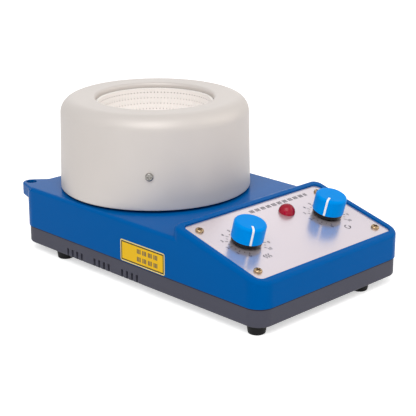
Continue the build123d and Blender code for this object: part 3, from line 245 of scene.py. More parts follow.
def finish_glass_knit(finish, shape):
    # Glass-fibre yarn, knitted to a bowl and sewn down in rings over the heating wire: off-white,
    # dull, small loops, and a pinhole below each stitch.  Painted shade darkens the yarn between the loops and
    # fills the pinholes.
    made, tree = new_tree("Glass_fibre_knit")
    uv = add(tree, "ShaderNodeUVMap", uv_map="skin").outputs[0]
    # The UV map counts stitches round each ring and rings down the bowl.  The pinhole is round, as it
    # is worked out in millimetres, and lies 0.3 of a ring below the middle of its cell.
    cell = add(tree, "ShaderNodeVectorMath", links={0: uv}, operation="FRACTION").outputs[0]
    place = {1: (0.5, 0.8, 0)}
    from_hole = add(tree, "ShaderNodeVectorMath", place, {0: cell}, operation="SUBTRACT").outputs[0]
    size = (shape.stitch_pitch / MM, shape.ring_pitch / MM, 0)
    in_mm = add(tree, "ShaderNodeVectorMath", {1: size}, {0: from_hole}, operation="MULTIPLY").outputs[0]
    away = add(tree, "ShaderNodeVectorMath", links={0: in_mm}, operation="LENGTH").outputs["Value"]
    whole = add(tree, "ShaderNodeMapRange", {"From Min": 0.25, "From Max": 0.55}, {"Value": away}).outputs[0]
    # Two loops to a stitch and four to a ring, highest in their middles.
    loops = add(tree, "ShaderNodeMapping", {"Scale": (2.0, 4.0, 1.0)}, {"Vector": uv}).outputs[0]
    loop = add(tree, "ShaderNodeVectorMath", links={0: loops}, operation="FRACTION").outputs[0]
    centre = {1: (0.5, 0.5, 0)}
    out = add(tree, "ShaderNodeVectorMath", centre, {0: loop}, operation="DISTANCE").outputs["Value"]
    fall = {"From Min": 0.2, "From Max": 0.62, "To Min": 1.0, "To Max": 0.0}
    yarn = add(tree, "ShaderNodeMapRange", fall, {"Value": out}).outputs[0]
    # Painted shade: the yarn is 3% darker where it falls away between the loops.
    tones = {6: scaled(finish.cloth, 0.97), 7: finish.cloth}
    knit = add(tree, "ShaderNodeMix", tones, {0: yarn}, data_type="RGBA").outputs[2]
    # Painted shade: each pinhole is coloured a dark brown-grey for the shade inside it.
    hole_shade = {6: linear("#85786F")}
    pierced = add(tree, "ShaderNodeMix", hole_shade, {0: whole, 7: knit}, data_type="RGBA").outputs[2]
    height = add(tree, "ShaderNodeMath", links={0: yarn, 1: whole}, operation="MULTIPLY").outputs[0]
    sockets = {"IOR": 1.5, "Specular IOR Level": 0.5, "Sheen Weight": 0.6, "Sheen Roughness": 0.5}
    shade(tree, pierced, height, (0.95, 0.8), 0.12, sockets)
    return made


def finish_printed_film(finish):
    # PVC film, screen printed: even warm yellow, slightly glossy, one thin dark line inside its
    # edge and a paler margin outside that.
    made, tree = new_tree("PVC_film_yellow")
    coords = add(tree, "ShaderNodeTexCoord").outputs["Object"]
    centred = add(tree, "ShaderNodeMapping", {"Location": tuple(-LABEL_AXIS)}, {"Vector": coords}).outputs[0]
    folded = add(tree, "ShaderNodeVectorMath", links={0: centred}, operation="ABSOLUTE").outputs[0]
    half = tuple((LABEL_HIGH - LABEL_LOW) / 2)
    inside = add(tree, "ShaderNodeVectorMath", {1: half}, {0: folded}, operation="SUBTRACT").outputs[0]
    axes = add(tree, "ShaderNodeSeparateXYZ", links={0: inside}).outputs
    edge = add(tree, "ShaderNodeMath", links={0: axes["Y"], 1: axes["Z"]}, operation="MAXIMUM").outputs[0]
    # How far outside the middle of the line a point lies.
    off = add(tree, "ShaderNodeMath", {1: FRAME_INSET}, {0: edge}, operation="ADD").outputs[0]
    away = add(tree, "ShaderNodeMath", links={0: off}, operation="ABSOLUTE").outputs[0]
    line = add(tree, "ShaderNodeMath", {1: FRAME_HALF}, {0: away}, operation="LESS_THAN").outputs[0]
    margin = add(tree, "ShaderNodeMath", {1: 0.0}, {0: off}, operation="GREATER_THAN").outputs[0]
    ground, dark = {6: finish.label, 7: linear("#F6DF8A")}, {7: linear("#3C2C12")}
    field = add(tree, "ShaderNodeMix", ground, {0: margin}, data_type="RGBA").outputs[2]
    tone = add(tree, "ShaderNodeMix", dark, {0: line, 6: field}, data_type="RGBA").outputs[2]
    # Fine pebbles, 1.1 mm across.
    grains = add(tree, "ShaderNodeTexNoise", {"Scale": 900.0}, {"Vector": coords}).outputs["Fac"]
    shade(tree, tone, grains, (0.3, 0.42), 0.008, {"Specular IOR Level": 0.15})
    return made


def finish_circuit_board():
    # Glass-epoxy laminate under green solder resist: glossy green with paler copper tracks,
    # 0.7 mm wide and in cells of 11 by 4.5 mm.
    made, tree = new_tree("Epoxy_laminate_green")
    coords = add(tree, "ShaderNodeTexCoord").outputs["Object"]
    values = {"Scale": 1.0, "Brick Width": 11.0 * MM, "Row Height": 4.5 * MM, "Mortar Size": 0.7 * MM}
    colours = {"Color1": linear("#1B5230"), "Color2": linear("#1F5A34"), "Mortar": linear("#3B8050")}
    tracks = add(tree, "ShaderNodeTexBrick", {**values, **colours}, {"Vector": coords})
    shade(tree, tracks.outputs["Color"], tracks.outputs["Fac"], (0.22, 0.35), 0.03, {"IOR": 1.55})
    return made


def finish_red_lens(finish):
    # Acrylic, dyed red and moulded clear: deep red, wet highlights, with soft facets 2.4 mm across.
    # The red is darkened by painted shade where the surface turns away from the view, towards the rim.
    made, tree = new_tree("Acrylic_red_clear")
    coords = add(tree, "ShaderNodeTexCoord").outputs["Object"]
    # Painted shade: the red falls to 0.45 of itself where the surface turns away from the view.
    facing = add(tree, "ShaderNodeLayerWeight", {"Blend": 0.35}).outputs["Facing"]
    tones = {6: finish.lamp, 7: scaled(finish.lamp, 0.45)}
    tone = add(tree, "ShaderNodeMix", tones, {0: facing}, data_type="RGBA")
    ripple = add(tree, "ShaderNodeTexVoronoi", {"Scale": 420.0}, {"Vector": coords}, feature="SMOOTH_F1")
    sockets = {"IOR": 1.49, "Specular IOR Level": 0.1, "Coat Weight": 0.35, "Coat Roughness": 0.03}
    shade(tree, tone.outputs[2], ripple.outputs["Distance"], (0.06, 0.16), 0.25, sockets)
    return made


METAL = {"Metallic": 1.0}
DRAWN_METAL = {"Metallic": 1.0, "stretch": (1, 1, 0.05)}
LAYERED = {"stretch": (0.02, 0.02, 1)}
CLEAR = {"IOR": 1.52, "Transmission_Weight": 0.9}

# By the record's material slot: name, colour, roughness from and to, grain in mm, relief in mm,
# drift of the colour, its patches in mm, and other settings.
PLAIN_FINISHES = {
    # Steel, zinc plated: cool bright grey with a slightly cloudy gloss.
    "steel_screws": ("Steel_zinc_bright", "#918E8A", (0.2, 0.34), 0.8, 0.01, 0.06, 6.0, METAL),
    # Steel sheet, zinc plated: cool grey, spangled in soft patches.
    "zinc_steel": ("Steel_sheet_zinc", "#A9ABAD", (0.3, 0.5), 2.2, 0.01, 0.1, 9.0, METAL),
    # Brass, drawn: a paler, duller yellow than the screws.
    "inlet_brass": ("Brass_drawn", "#C2A05A", (0.25, 0.4), 0.7, 0.01, 0.06, 8.0, METAL),
    # Needled ceramic fibre: matte cream, loose fibres in clumps.
    "felt": ("Ceramic_fibre_felt", "#E9E2D0", (0.9, 1.0), 1.6, 0.4, 0.08, 12.0, {"IOR": 1.45}),
    # Braided glass sleeving: dull white, fine braid seen as small ridges.
    "sleeving": ("Glass_braid_sleeving", "#E8E4DC", (0.8, 0.95), 0.6, 0.12, 0.05, 5.0, {"IOR": 1.5}),
    # Steatite, fired unglazed: chalky off-white.
    "ceramic": ("Steatite_fired", "#EFECE4", (0.6, 0.75), 0.5, 0.03, 0.03, 10.0, {"IOR": 1.56}),
    # Steel can, drawn and plated: grey with soft vertical drawing marks.
    "motor_steel": ("Steel_drawn_can", "#8D8F92", (0.28, 0.4), 0.5, 0.008, 0.05, 15.0, DRAWN_METAL),
    # Silver steel, ground: bright with fine marks.
    "shaft_steel": ("Steel_ground", "#9FA1A3", (0.15, 0.28), 0.3, 0.004, 0.03, 8.0, METAL),
    # Sintered magnet, nickel plated: mirror-like with a pebbled skin.
    "magnet_nickel": ("Nickel_plating", "#C9CACC", (0.08, 0.18), 1.5, 0.015, 0.03, 6.0, METAL),
    # Polyamide, moulded gloss: deep black with crisp highlights.
    "black_plastic": (
        "Polyamide_black", "#0E0E11", (0.08, 0.16), 0.8, 0.008, 0.1, 10.0, {"Specular_IOR_Level": 0.25},
    ),
    # Aluminium, extruded: pale grey with die lines down the fins.
    "sink_metal": ("Aluminium_extruded", "#A8ABAD", (0.3, 0.42), 0.4, 0.012, 0.03, 12.0, DRAWN_METAL),
    # Silicon steel laminations, varnished: dark, layered, half gloss.
    "core_steel": ("Lamination_varnished", "#3A3A3D", (0.35, 0.55), 0.6, 0.06, 0.1, 8.0, LAYERED),
    # PVC sleeve shrunk on a can: dark blue, smooth, glossy.
    "capacitor_sleeve": ("PVC_sleeve_blue", "#1D2A44", (0.2, 0.3), 1.0, 0.01, 0.05, 6.0, {"IOR": 1.54}),
    # Soda-lime glass tube: clear, bright edges.
    "fuse_glass": ("Glass_tube_clear", "#DFE6E6", (0.03, 0.08), 2.0, 0.004, 0.02, 8.0, CLEAR),
    # Nitrile rubber, moulded: soft black, dusty bloom.
    "foot_rubber": (
        "Rubber_black", "#0C0C0D", (0.55, 0.75), 0.9, 0.03, 0.2, 5.0, {"Specular_IOR_Level": 0.2},
    ),
    # Tin-plated steel can: bright grey.
    "dial_metal": ("Steel_tinned", "#B0B2B4", (0.25, 0.4), 0.9, 0.01, 0.05, 6.0, METAL),
    # ABS filled line: clean white, dull.
    "pointer_white": ("ABS_white", "#F4F6F6", (0.4, 0.5), 0.6, 0.006, 0.02, 5.0, {"IOR": 1.53}),
}


def all_finishes(finish):
    """A material for each of the record's material slots."""
    made = {}
    for slot, (name, tone, *numbers, settings) in PLAIN_FINISHES.items():
        made[slot] = plain_finish(name, linear(tone), *numbers, **settings)
    # Brass, turned and polished: warm yellow-brown, sharp small highlights.
    made["brass_screws"] = plain_finish(
        "Brass_polished", finish.brass, (0.16, 0.3), 0.6, 0.01, 0.08, 3.0, **METAL
    )
    # ABS, moulded satin and self-coloured: bright even blue, soft broad highlight.
    made["knob_blue"] = plain_finish(
        "ABS_satin_blue", finish.knob, (0.3, 0.4), 0.6, 0.006, 0.03, 8.0,
        Specular_IOR_Level=0.04, Specular_Tint=finish.knob,
    )
    made["blue_shell"] = finish_gloss_abs(finish)
    made["grey_shell"] = finish_textured_abs(finish)
    made["vinyl_label"] = finish_printed_film(finish)
    made["panel_metal"] = finish_brushed_panel(finish)
    made["red_lens"] = finish_red_lens(finish)
    made["board_green"] = finish_circuit_board()
    # Stand-ins for the two solids whose places the spun pot and the knitted bowl take.
    made["pot_metal"] = made["sink_metal"]
    made["glass_cloth"] = made["sleeving"]
    return made


# ---------------------------------------------------------------- dressing the frame
def dress(finish_by_slot):
    """Gives every CAD node the finish of the record's slot that it names."""
    slots = {part["node"]: part["material_slot"] for part in frame["record"]["subparts"]}
    for name in sorted(NODES):
        mesh = NODES[name].data
        mesh.materials.clear()
        mesh.materials.append(finish_by_slot[slots[name]])


# ---------------------------------------------------------------- surfaces
def arc(centre, radius, start, stop, count):
    """Arc in the (r, z) half plane: centre plus radius times (cos t, sin t), t in degrees."""
    t = np.radians(np.linspace(start, stop, count))
    return np.stack([centre[0] + radius * np.cos(t), centre[1] + radius * np.sin(t)], axis=-1)


def run(start, stop, count):
    """Straight run of points, its two ends left to its neighbours."""
    t = np.linspace(0, 1, count + 2)[1:-1, None]
    return (1 - t) * np.array(start) + t * np.array(stop)


def corners(grid):
    """The four corner values of every cell of a grid, in the order of its faces."""
    return np.stack([grid[:-1, :-1], grid[:-1, 1:], grid[1:, 1:], grid[1:, :-1]], axis=2)


def make_piece(name, points, faces, material, body, loops=None):
    """Smooth object from arrays of points and faces, doubles merged, loop UVs kept, riding on a body."""
    mesh = bpy.data.meshes.new(name)
    mesh.from_pydata(points.reshape(-1, 3), [], faces.tolist())
    if loops is not None:
        layer = mesh.uv_layers.new(name="skin")
        layer.data.foreach_set("uv", loops.astype(np.float32).ravel())
    shell = bmesh.new()
    shell.from_mesh(mesh)
    bmesh.ops.remove_doubles(shell, verts=shell.verts, dist=1e-7)
    for face in shell.faces:
        face.smooth = True
    shell.to_mesh(mesh)
    shell.free()
    mesh.materials.append(material)
    made = bpy.data.objects.new(name, mesh)
    bpy.context.scene.collection.objects.link(made)
    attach(made, body)
    return made


def lathe_points(outline, axis, columns):
    """Surface of revolution: (r cos a, r sin a, z) about an axis, for outline points (r, z) and angles a."""
    angle = np.linspace(0, 2 * np.pi, columns + 1)
    r, z = outline[:, :1], outline[:, 1:]
    x = axis.x + r * np.cos(angle)
    y = axis.y + r * np.sin(angle)
    return np.stack([x, y, np.broadcast_to(z, x.shape)], axis=-1)


def lathe_faces(rows, columns):
    """Quads between neighbouring outline points and angles of a grid whose last column repeats the first."""
    index = np.arange(rows * (columns + 1)).reshape(rows, columns + 1)
    return corners(index).reshape(-1, 4)


def path_length(outline):
    """Length along an outline, from its first point."""
    steps = np.linalg.norm(np.diff(outline, axis=0), axis=1)
    return np.concatenate([[0], np.cumsum(steps)])


# ---------------------------------------------------------------- pot
def pot_outline(shape):
    """Closed section of the spun pot: hem, tapered wall, shoulder, flat rim, turned-down lip, back inside.

    Arcs and straight runs, each with its count of points last.
    """
    radius, bottom, top = POT_RADIUS, POT_LOW.z, POT_HIGH.z
    sheet, bend, lip = shape.sheet, shape.shoulder, shape.lip
    flat = radius - shape.taper - bend
    turn = shape.opening + lip
    lip_low = top - shape.lip_depth
    hem = sheet * 0.3  # round of the wall's lower edge
    return np.vstack([
        arc((radius - hem, bottom + hem), hem, -90, 0, 5),
        run((radius, bottom + hem), (flat + bend, top - bend), 30),
        arc((flat, top - bend), bend, 0, 90, 28),
        run((flat, top), (turn, top), 8),
        arc((turn, top - lip), lip, 90, 180, 12),
        arc((shape.opening + sheet / 2, lip_low + sheet / 2), sheet / 2, 180, 360, 9),
        arc((turn, top - lip), lip - sheet, 180, 90, 8),
        run((turn, top - sheet), (flat, top - sheet), 4),
        arc((flat, top - bend), bend - sheet, 90, 0, 14),
        run((flat + bend - sheet, top - bend), (radius - sheet, bottom), 6),
        [(radius - sheet, bottom + hem / 4), (radius - hem, bottom)],
    ])


class MANTLE_OT_pot(Operator):
    """Spun aluminium pot, in place of its CAD node"""
    bl_idname = "mantle.pot"
    bl_label = "Pot"

    def execute(self, context):
        outline = pot_outline(context.scene.mantle_shape)
        points = lathe_points(outline, POT_AXIS, POT_COLUMNS)
        around = np.linspace(0, 2 * np.pi, POT_COLUMNS + 1) * POT_RADIUS
        along = path_length(outline)
        grid = np.stack(np.broadcast_arrays(around[None, :], along[:, None]), axis=-1)
        faces = lathe_faces(len(outline), POT_COLUMNS)
        material = finish_spun_aluminium(context.scene.mantle_finish)
        pot = make_piece("spun_pot", points, faces, material, "base", corners(grid))
        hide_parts("pot_shell")
        return {"FINISHED"}


# ---------------------------------------------------------------- heating bowl
def edge_round(shape, radius, rim, start, stop, count, proud=0.0):
    """Round top of the bowl's hem, which stands up inside the pot's lip: an arc over its thickness."""
    half = shape.hem / 2
    return arc((radius + half, rim + shape.edge - half), half + proud, start, stop, count)


def bowl_outline(shape):
    """Section of the knitted bowl: outside, flange, standing hem and inside, and the ring count along it.

    Inside, the sphere's radius shrinks by a rounded rib, half a cosine wave to the power 1.5,
    over each sewn-in turn of wire.
    """
    radius = BOWL_HIGH.z - BOWL_LOW.z - 2 * shape.cloth
    rim = BOWL_HIGH.z - shape.cloth
    outer = radius + shape.cloth
    flange = (BOWL_HIGH.x - BOWL_LOW.x) / 2
    foot = (radius + shape.hem, BOWL_HIGH.z)
    rings = int(radius * np.pi / 2 / shape.ring_pitch)
    down = np.arange(rings * RING_POINTS + 1) / RING_POINTS * shape.ring_pitch
    rib = shape.rib * (0.5 - 0.5 * np.cos(2 * np.pi * down / shape.ring_pitch)) ** 1.5
    turn = down / radius
    inside = np.stack([(radius - rib) * np.cos(turn), rim - (radius - rib) * np.sin(turn)], axis=-1)
    floor = arc((0, rim), radius, -np.degrees(turn[-1]), -90, 7)[1:]
    outside = arc((0, rim), outer, -90, 0, 24)
    collar = np.vstack([
        run((outer, rim), (flange, rim), 3),
        arc((flange - shape.cloth / 2, rim + shape.cloth / 2), shape.cloth / 2, -90, 90, 7),
        run((flange, BOWL_HIGH.z), foot, 8),
        [foot],
        edge_round(shape, radius, rim, 0, 180, 9),
        run((radius, rim + shape.edge - shape.hem / 2), (radius, rim), 8),
    ])
    outline = np.vstack([outside, collar, inside, floor])
    first = len(outside) + len(collar)
    past = first + len(down)
    ring = (path_length(outline) - path_length(outline)[first]) / shape.ring_pitch
    ring[first:past] = down / shape.ring_pitch
    ring[past:] = rings + (ring[past:] - ring[past - 1])
    return outline, ring, radius, rim, rings


def stitch_counts(radii, pitch):
    """Whole stitches that fit round rings of the given radii."""
    return np.maximum(6, np.round(2 * np.pi * radii / pitch))


class MANTLE_OT_bowl(Operator):
    """Knitted glass-fibre bowl with its sewn-down rings of heating wire, in place of its CAD node"""
    bl_idname = "mantle.bowl"
    bl_label = "Heating bowl"

    def execute(self, context):
        shape, finish = context.scene.mantle_shape, context.scene.mantle_finish
        outline, ring, radius, rim, rings = bowl_outline(shape)
        points = lathe_points(outline, POT_AXIS, BOWL_COLUMNS)
        # Each strip of faces takes the number of stitches of the ring that it lies in.
        band = np.clip(np.floor((ring[:-1] + ring[1:]) / 2), -1, rings)
        middle = np.where(band < 0, radius, radius * np.cos((band + 0.5) * shape.ring_pitch / radius))
        count = stitch_counts(np.maximum(middle, 2 * MM), shape.stitch_pitch)
        grid = len(outline), BOWL_COLUMNS + 1
        u = corners(np.broadcast_to(np.linspace(0, 1, BOWL_COLUMNS + 1), grid)) * count[:, None, None]
        v = corners(np.broadcast_to(ring[:, None], grid))
        faces = lathe_faces(len(outline), BOWL_COLUMNS)
        material = finish_glass_knit(finish, shape)
        bowl = make_piece("knitted_bowl", points, faces, material, "base", np.stack([u, v], axis=-1))
        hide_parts("heating_bowl")
        self.sew(shape, finish, radius, rim, rings)
        return {"FINISHED"}

    def edge_loops(self, shape, radius, rim):
        """Stitches over the hem, one every pitch round the axis: arcs about the middle of its round top.

        Gives for each stitch its points, the ways away from the cloth there and the way across it.
        """
        number = int(stitch_counts(radius, shape.edge_pitch))
        around = np.arange(number) / number * 2 * np.pi
        out = np.stack([np.cos(around), np.sin(around)], axis=-1)
        proud = shape.thread * STITCH_LIFT
        section = edge_round(shape, radius, rim, *EDGE_SPAN, STITCH_POINTS, proud)
        turn = np.radians(np.linspace(*EDGE_SPAN, STITCH_POINTS))
        axis = np.array([POT_AXIS.x, POT_AXIS.y])
        flat = axis + section[None, :, :1] * out[:, None]
        path = np.dstack([flat, np.broadcast_to(section[:, 1], flat.shape[:2])])
        level = np.cos(turn)[None, :, None] * out[:, None]
        lift = np.dstack([level, np.broadcast_to(np.sin(turn), level.shape[:2])])
        across = np.stack([-out[:, 1], out[:, 0], 0 * around], axis=-1)
        return path, lift, across

    def ring_loops(self, shape, radius, rim, rings):
        """Stitches over every ring of wire: half-turn arches across its rib, given as edge_loops does.

        Each point is centre + reach sin s along the meridian + rise cos s inwards, where s is the
        place along the arch.
        """
        turn = (np.arange(rings) + 0.5) * shape.ring_pitch / radius
        count = stitch_counts(radius * np.cos(turn), shape.stitch_pitch).astype(int)
        down = np.repeat(turn, count)
        start = np.concatenate([[0], np.cumsum(count)[:-1]])
        step = np.arange(count.sum()) - np.repeat(start, count)
        around = (step + 0.5) / np.repeat(count, count) * 2 * np.pi
        ahead = np.stack([np.cos(around), np.sin(around), 0 * around], axis=-1)
        across = np.stack([-np.sin(around), np.cos(around), 0 * around], axis=-1)
        up = np.array([0, 0, 1.0])
        inward = -np.cos(down)[:, None] * ahead + np.sin(down)[:, None] * up
        along = np.sin(down)[:, None] * ahead + np.cos(down)[:, None] * up
        centre = np.array([POT_AXIS.x, POT_AXIS.y, rim]) - (radius - shape.rib) * inward
        s = np.radians(np.linspace(-90, 90, STITCH_POINTS))
        reach, rise = STITCH_REACH * shape.ring_pitch, shape.rib
        path = centre[:, None] + reach * np.sin(s)[:, None] * along[:, None]
        path = path + (rise * (np.cos(s) - 1) + shape.thread * STITCH_LIFT)[:, None] * inward[:, None]
        lift = np.cos(s)[:, None] * inward[:, None] + np.sin(s)[:, None] * along[:, None]
        return path, lift, across

    def sew(self, shape, finish, radius, rim, rings):
        """A thread along every stitch: its points plus half its thickness times (lift cos b + across sin b).

        Six places b round the thread, so that each end closes with two quads.
        """
        loops = self.ring_loops(shape, radius, rim, rings), self.edge_loops(shape, radius, rim)
        path, lift, across = (np.vstack(both) for both in zip(*loops))
        b = np.linspace(0, 2 * np.pi, 7)[:-1]
        circle = np.cos(b)[:, None] * lift[:, :, None] + np.sin(b)[:, None] * across[:, None, None]
        points = path[:, :, None] + shape.thread / 2 * circle
        stitches, rows, sides = points.shape[:3]
        index = np.arange(rows * sides).reshape(rows, sides)
        sheath = corners(np.hstack([index, index[:, :1]])).reshape(-1, 4)
        ends = np.array([[0, 1, 2, 3], [0, 3, 4, 5], [3, 2, 1, 0], [5, 4, 3, 0]])
        ends[2:] += (rows - 1) * sides
        quads = np.vstack([sheath[:, ::-1], ends[:, ::-1]])
        faces = (quads[None] + (np.arange(stitches) * rows * sides)[:, None, None]).reshape(-1, 4)
        # Glass sewing thread, twisted and heat cleaned: a shade darker than the knit, dull.
        colour = scaled(finish.cloth, 0.98)
        material = plain_finish("Glass_thread", colour, (0.75, 0.9), 0.4, 0.05, 0.08, 4.0, IOR=1.5)
        thread = make_piece("bowl_stitches", points, faces, material, "base")


# ---------------------------------------------------------------- housing and fittings
class MANTLE_OT_housing(Operator):
    """Finishes of all parts that keep their shape: housing, tray, panel, dials, fittings, works inside"""
    bl_idname = "mantle.housing"
    bl_label = "Housing and fittings"

    def execute(self, context):
        dress(all_finishes(context.scene.mantle_finish))
        return {"FINISHED"}


# ---------------------------------------------------------------- print
def panel_face(origin):
    """Face of the panel about a point of it: the point, and the ways right, up the slope and out."""
    return origin, Vector((1, 0, 0)), PANEL_UP, PANEL_OUT


def on_face(face, flat, height):
    """Points given as (right, up) on a face, lifted off it by a height."""
    origin, right, up, out = (np.array(part) for part in face)
    return origin + flat[..., :1] * right + flat[..., 1:] * up + height * out


def ribbon(path, width):
    """Flat band along a path of (x, y) points: each point moved half the width to both sides of the path."""
    ahead = np.gradient(path, axis=0)
    ahead /= np.linalg.norm(ahead, axis=1, keepdims=True)
    side = np.stack([-ahead[:, 1], ahead[:, 0]], axis=-1) * np.broadcast_to(width, len(path))[:, None] / 2
    return np.stack([path + side, path - side], axis=1)


def ink_solid(shell, face, band):
    """Adds a band to the print as a closed film of ink, rows along the band and four corners across."""
    low, high = on_face(face, band, 0.0), on_face(face, band, INK)
    ring = np.stack([high[:, 0], high[:, 1], low[:, 1], low[:, 0]], axis=1)
    rows = len(ring)
    verts = [shell.verts.new(p) for p in ring.reshape(-1, 3)]
    index = np.arange(rows * 4).reshape(rows, 4)
    quads = corners(np.hstack([index, index[:, :1]])).reshape(-1, 4).tolist()
    quads += [index[0].tolist()[::-1], index[-1].tolist()]
    for quad in quads:
        shell.faces.new([verts[i] for i in quad])


def bars(shell, face, start, stop, up):
    """Adds a row of plain upright bars in threes, between two places across and at a height, in mm."""
    for number in range(int((stop - start) / BAR_PITCH) + 1):
        if number % 4 < 3:
            x = start + number * BAR_PITCH
            path = np.array([[x, up - BAR_TALL / 2], [x, up + BAR_TALL / 2]]) * MM
            ink_solid(shell, face, ribbon(path, BAR_WIDTH * MM))


def figure(shell, text, face, place, height):
    """Adds a figure to the print, centred on a place of a face.

    The font's size is 1.38 times the height of its figures, and they are made a little bolder.
    """
    curve = bpy.data.curves.new("figure", "FONT")
    curve.body = text
    curve.size = height * 1.38
    curve.align_x, curve.align_y = "CENTER", "CENTER"
    curve.extrude = INK / 2
    curve.offset = height * 0.03
    holder = bpy.data.objects.new("figure", curve)
    mesh = bpy.data.meshes.new_from_object(holder)
    centre = Vector(on_face(face, np.array(place), INK / 2))
    turn = Matrix(face[1:]).transposed().to_4x4()
    mesh.transform(Matrix.Translation(centre) @ turn)
    shell.from_mesh(mesh)
    bpy.data.meshes.remove(mesh)
    bpy.data.objects.remove(holder)
    bpy.data.curves.remove(curve)


class MANTLE_OT_print(Operator):
    """Printed scales, figures, signs and plain bars on the control panel, and bars on the side label"""
    bl_idname = "mantle.panel_print"
    bl_label = "Print"

    def execute(self, context):
        # Screen-printing ink, baked: nearly black, slightly raised and dull.
        tone = context.scene.mantle_finish.ink
        ink = plain_finish("Ink_baked", tone, (0.45, 0.6), 0.3, 0.004, 0.1, 6.0, IOR=1.5)
        shell = bmesh.new()
        for dial in (HEAT_DIAL, SPEED_DIAL):
            self.scale(shell, panel_face(dial), context.scene.mantle_shape)
        self.heat_sign(shell)
        self.stir_sign(shell)
        bars(shell, panel_face((HEAT_DIAL + SPEED_DIAL) / 2), *TITLE_ROW)
        self.collect(context, shell, "panel_print", ink)
        shell = bmesh.new()
        origin = Vector((LABEL_LOW.x, LABEL_AXIS.y, LABEL_AXIS.z))
        face = origin, Vector((0, -1, 0)), Vector((0, 0, 1)), Vector((-1, 0, 0))
        for row in LABEL_ROWS:
            bars(shell, face, *row)
        self.collect(context, shell, "label_print", ink)
        return {"FINISHED"}

    def collect(self, context, shell, name, ink):
        """Turns the bands and figures of a print into one piece."""
        bmesh.ops.recalc_face_normals(shell, faces=shell.faces)
        mesh = bpy.data.meshes.new(name)
        shell.to_mesh(mesh)
        shell.free()
        mesh.materials.append(ink)
        made = bpy.data.objects.new(name, mesh)
        context.scene.collection.objects.link(made)
        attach(made, "base")

    def scale(self, shell, face, shape):
        """Ticks over the dial's range, every other one long and with its figure, from 0 to 10, outside it."""
        for step in range(SCALE_STEPS + 1):
            angle = math.radians(SCALE_START - SCALE_RANGE / SCALE_STEPS * step)
            ray = np.array([-math.sin(angle), math.cos(angle)])
            reach = TICK_LONG if step % 2 == 0 else TICK_SHORT
            path = np.stack([ray * TICK_RING * MM, ray * (TICK_RING + reach) * MM])
            ink_solid(shell, face, ribbon(path, TICK_WIDTH * MM))
            if step % 2 == 0:
                figure(shell, str(step // 2), face, ray * shape.figure_ring, shape.figure)

    def heat_sign(self, shell):
        """Three upright waves, x = swing times the sine of the height, below the heat dial."""
        t = np.linspace(0, 1, 15)
        wave = WAVE_SWING * np.sin(2 * np.pi * WAVE_TURNS * t)
        for column in (-1, 0, 1):
            x = WAVE_FOOT[0] + column * WAVE_PITCH + wave
            path = np.stack([x, WAVE_FOOT[1] + WAVE_TALL * t], axis=-1) * MM
            ink_solid(shell, panel_face(HEAT_DIAL), ribbon(path, SIGN_LINE * MM))

    def stir_sign(self, shell):
        """Open circle from 70 to 340 degrees that ends in an arrowhead, below the speed dial."""
        def ring(turn):
            """Points of the circle: its centre plus its radius times (cos t, sin t)."""
            t = np.radians(turn)
            return (RING_CENTRE + RING_RADIUS * np.stack([np.cos(t), np.sin(t)], axis=-1)) * MM

        ink_solid(shell, panel_face(SPEED_DIAL), ribbon(ring(np.linspace(70, 340, 22)), SIGN_LINE * MM))
        taper = np.array([ARROW_WIDTH, 0.1]) * MM
        ink_solid(shell, panel_face(SPEED_DIAL), ribbon(ring(np.array([340, 395])), taper))


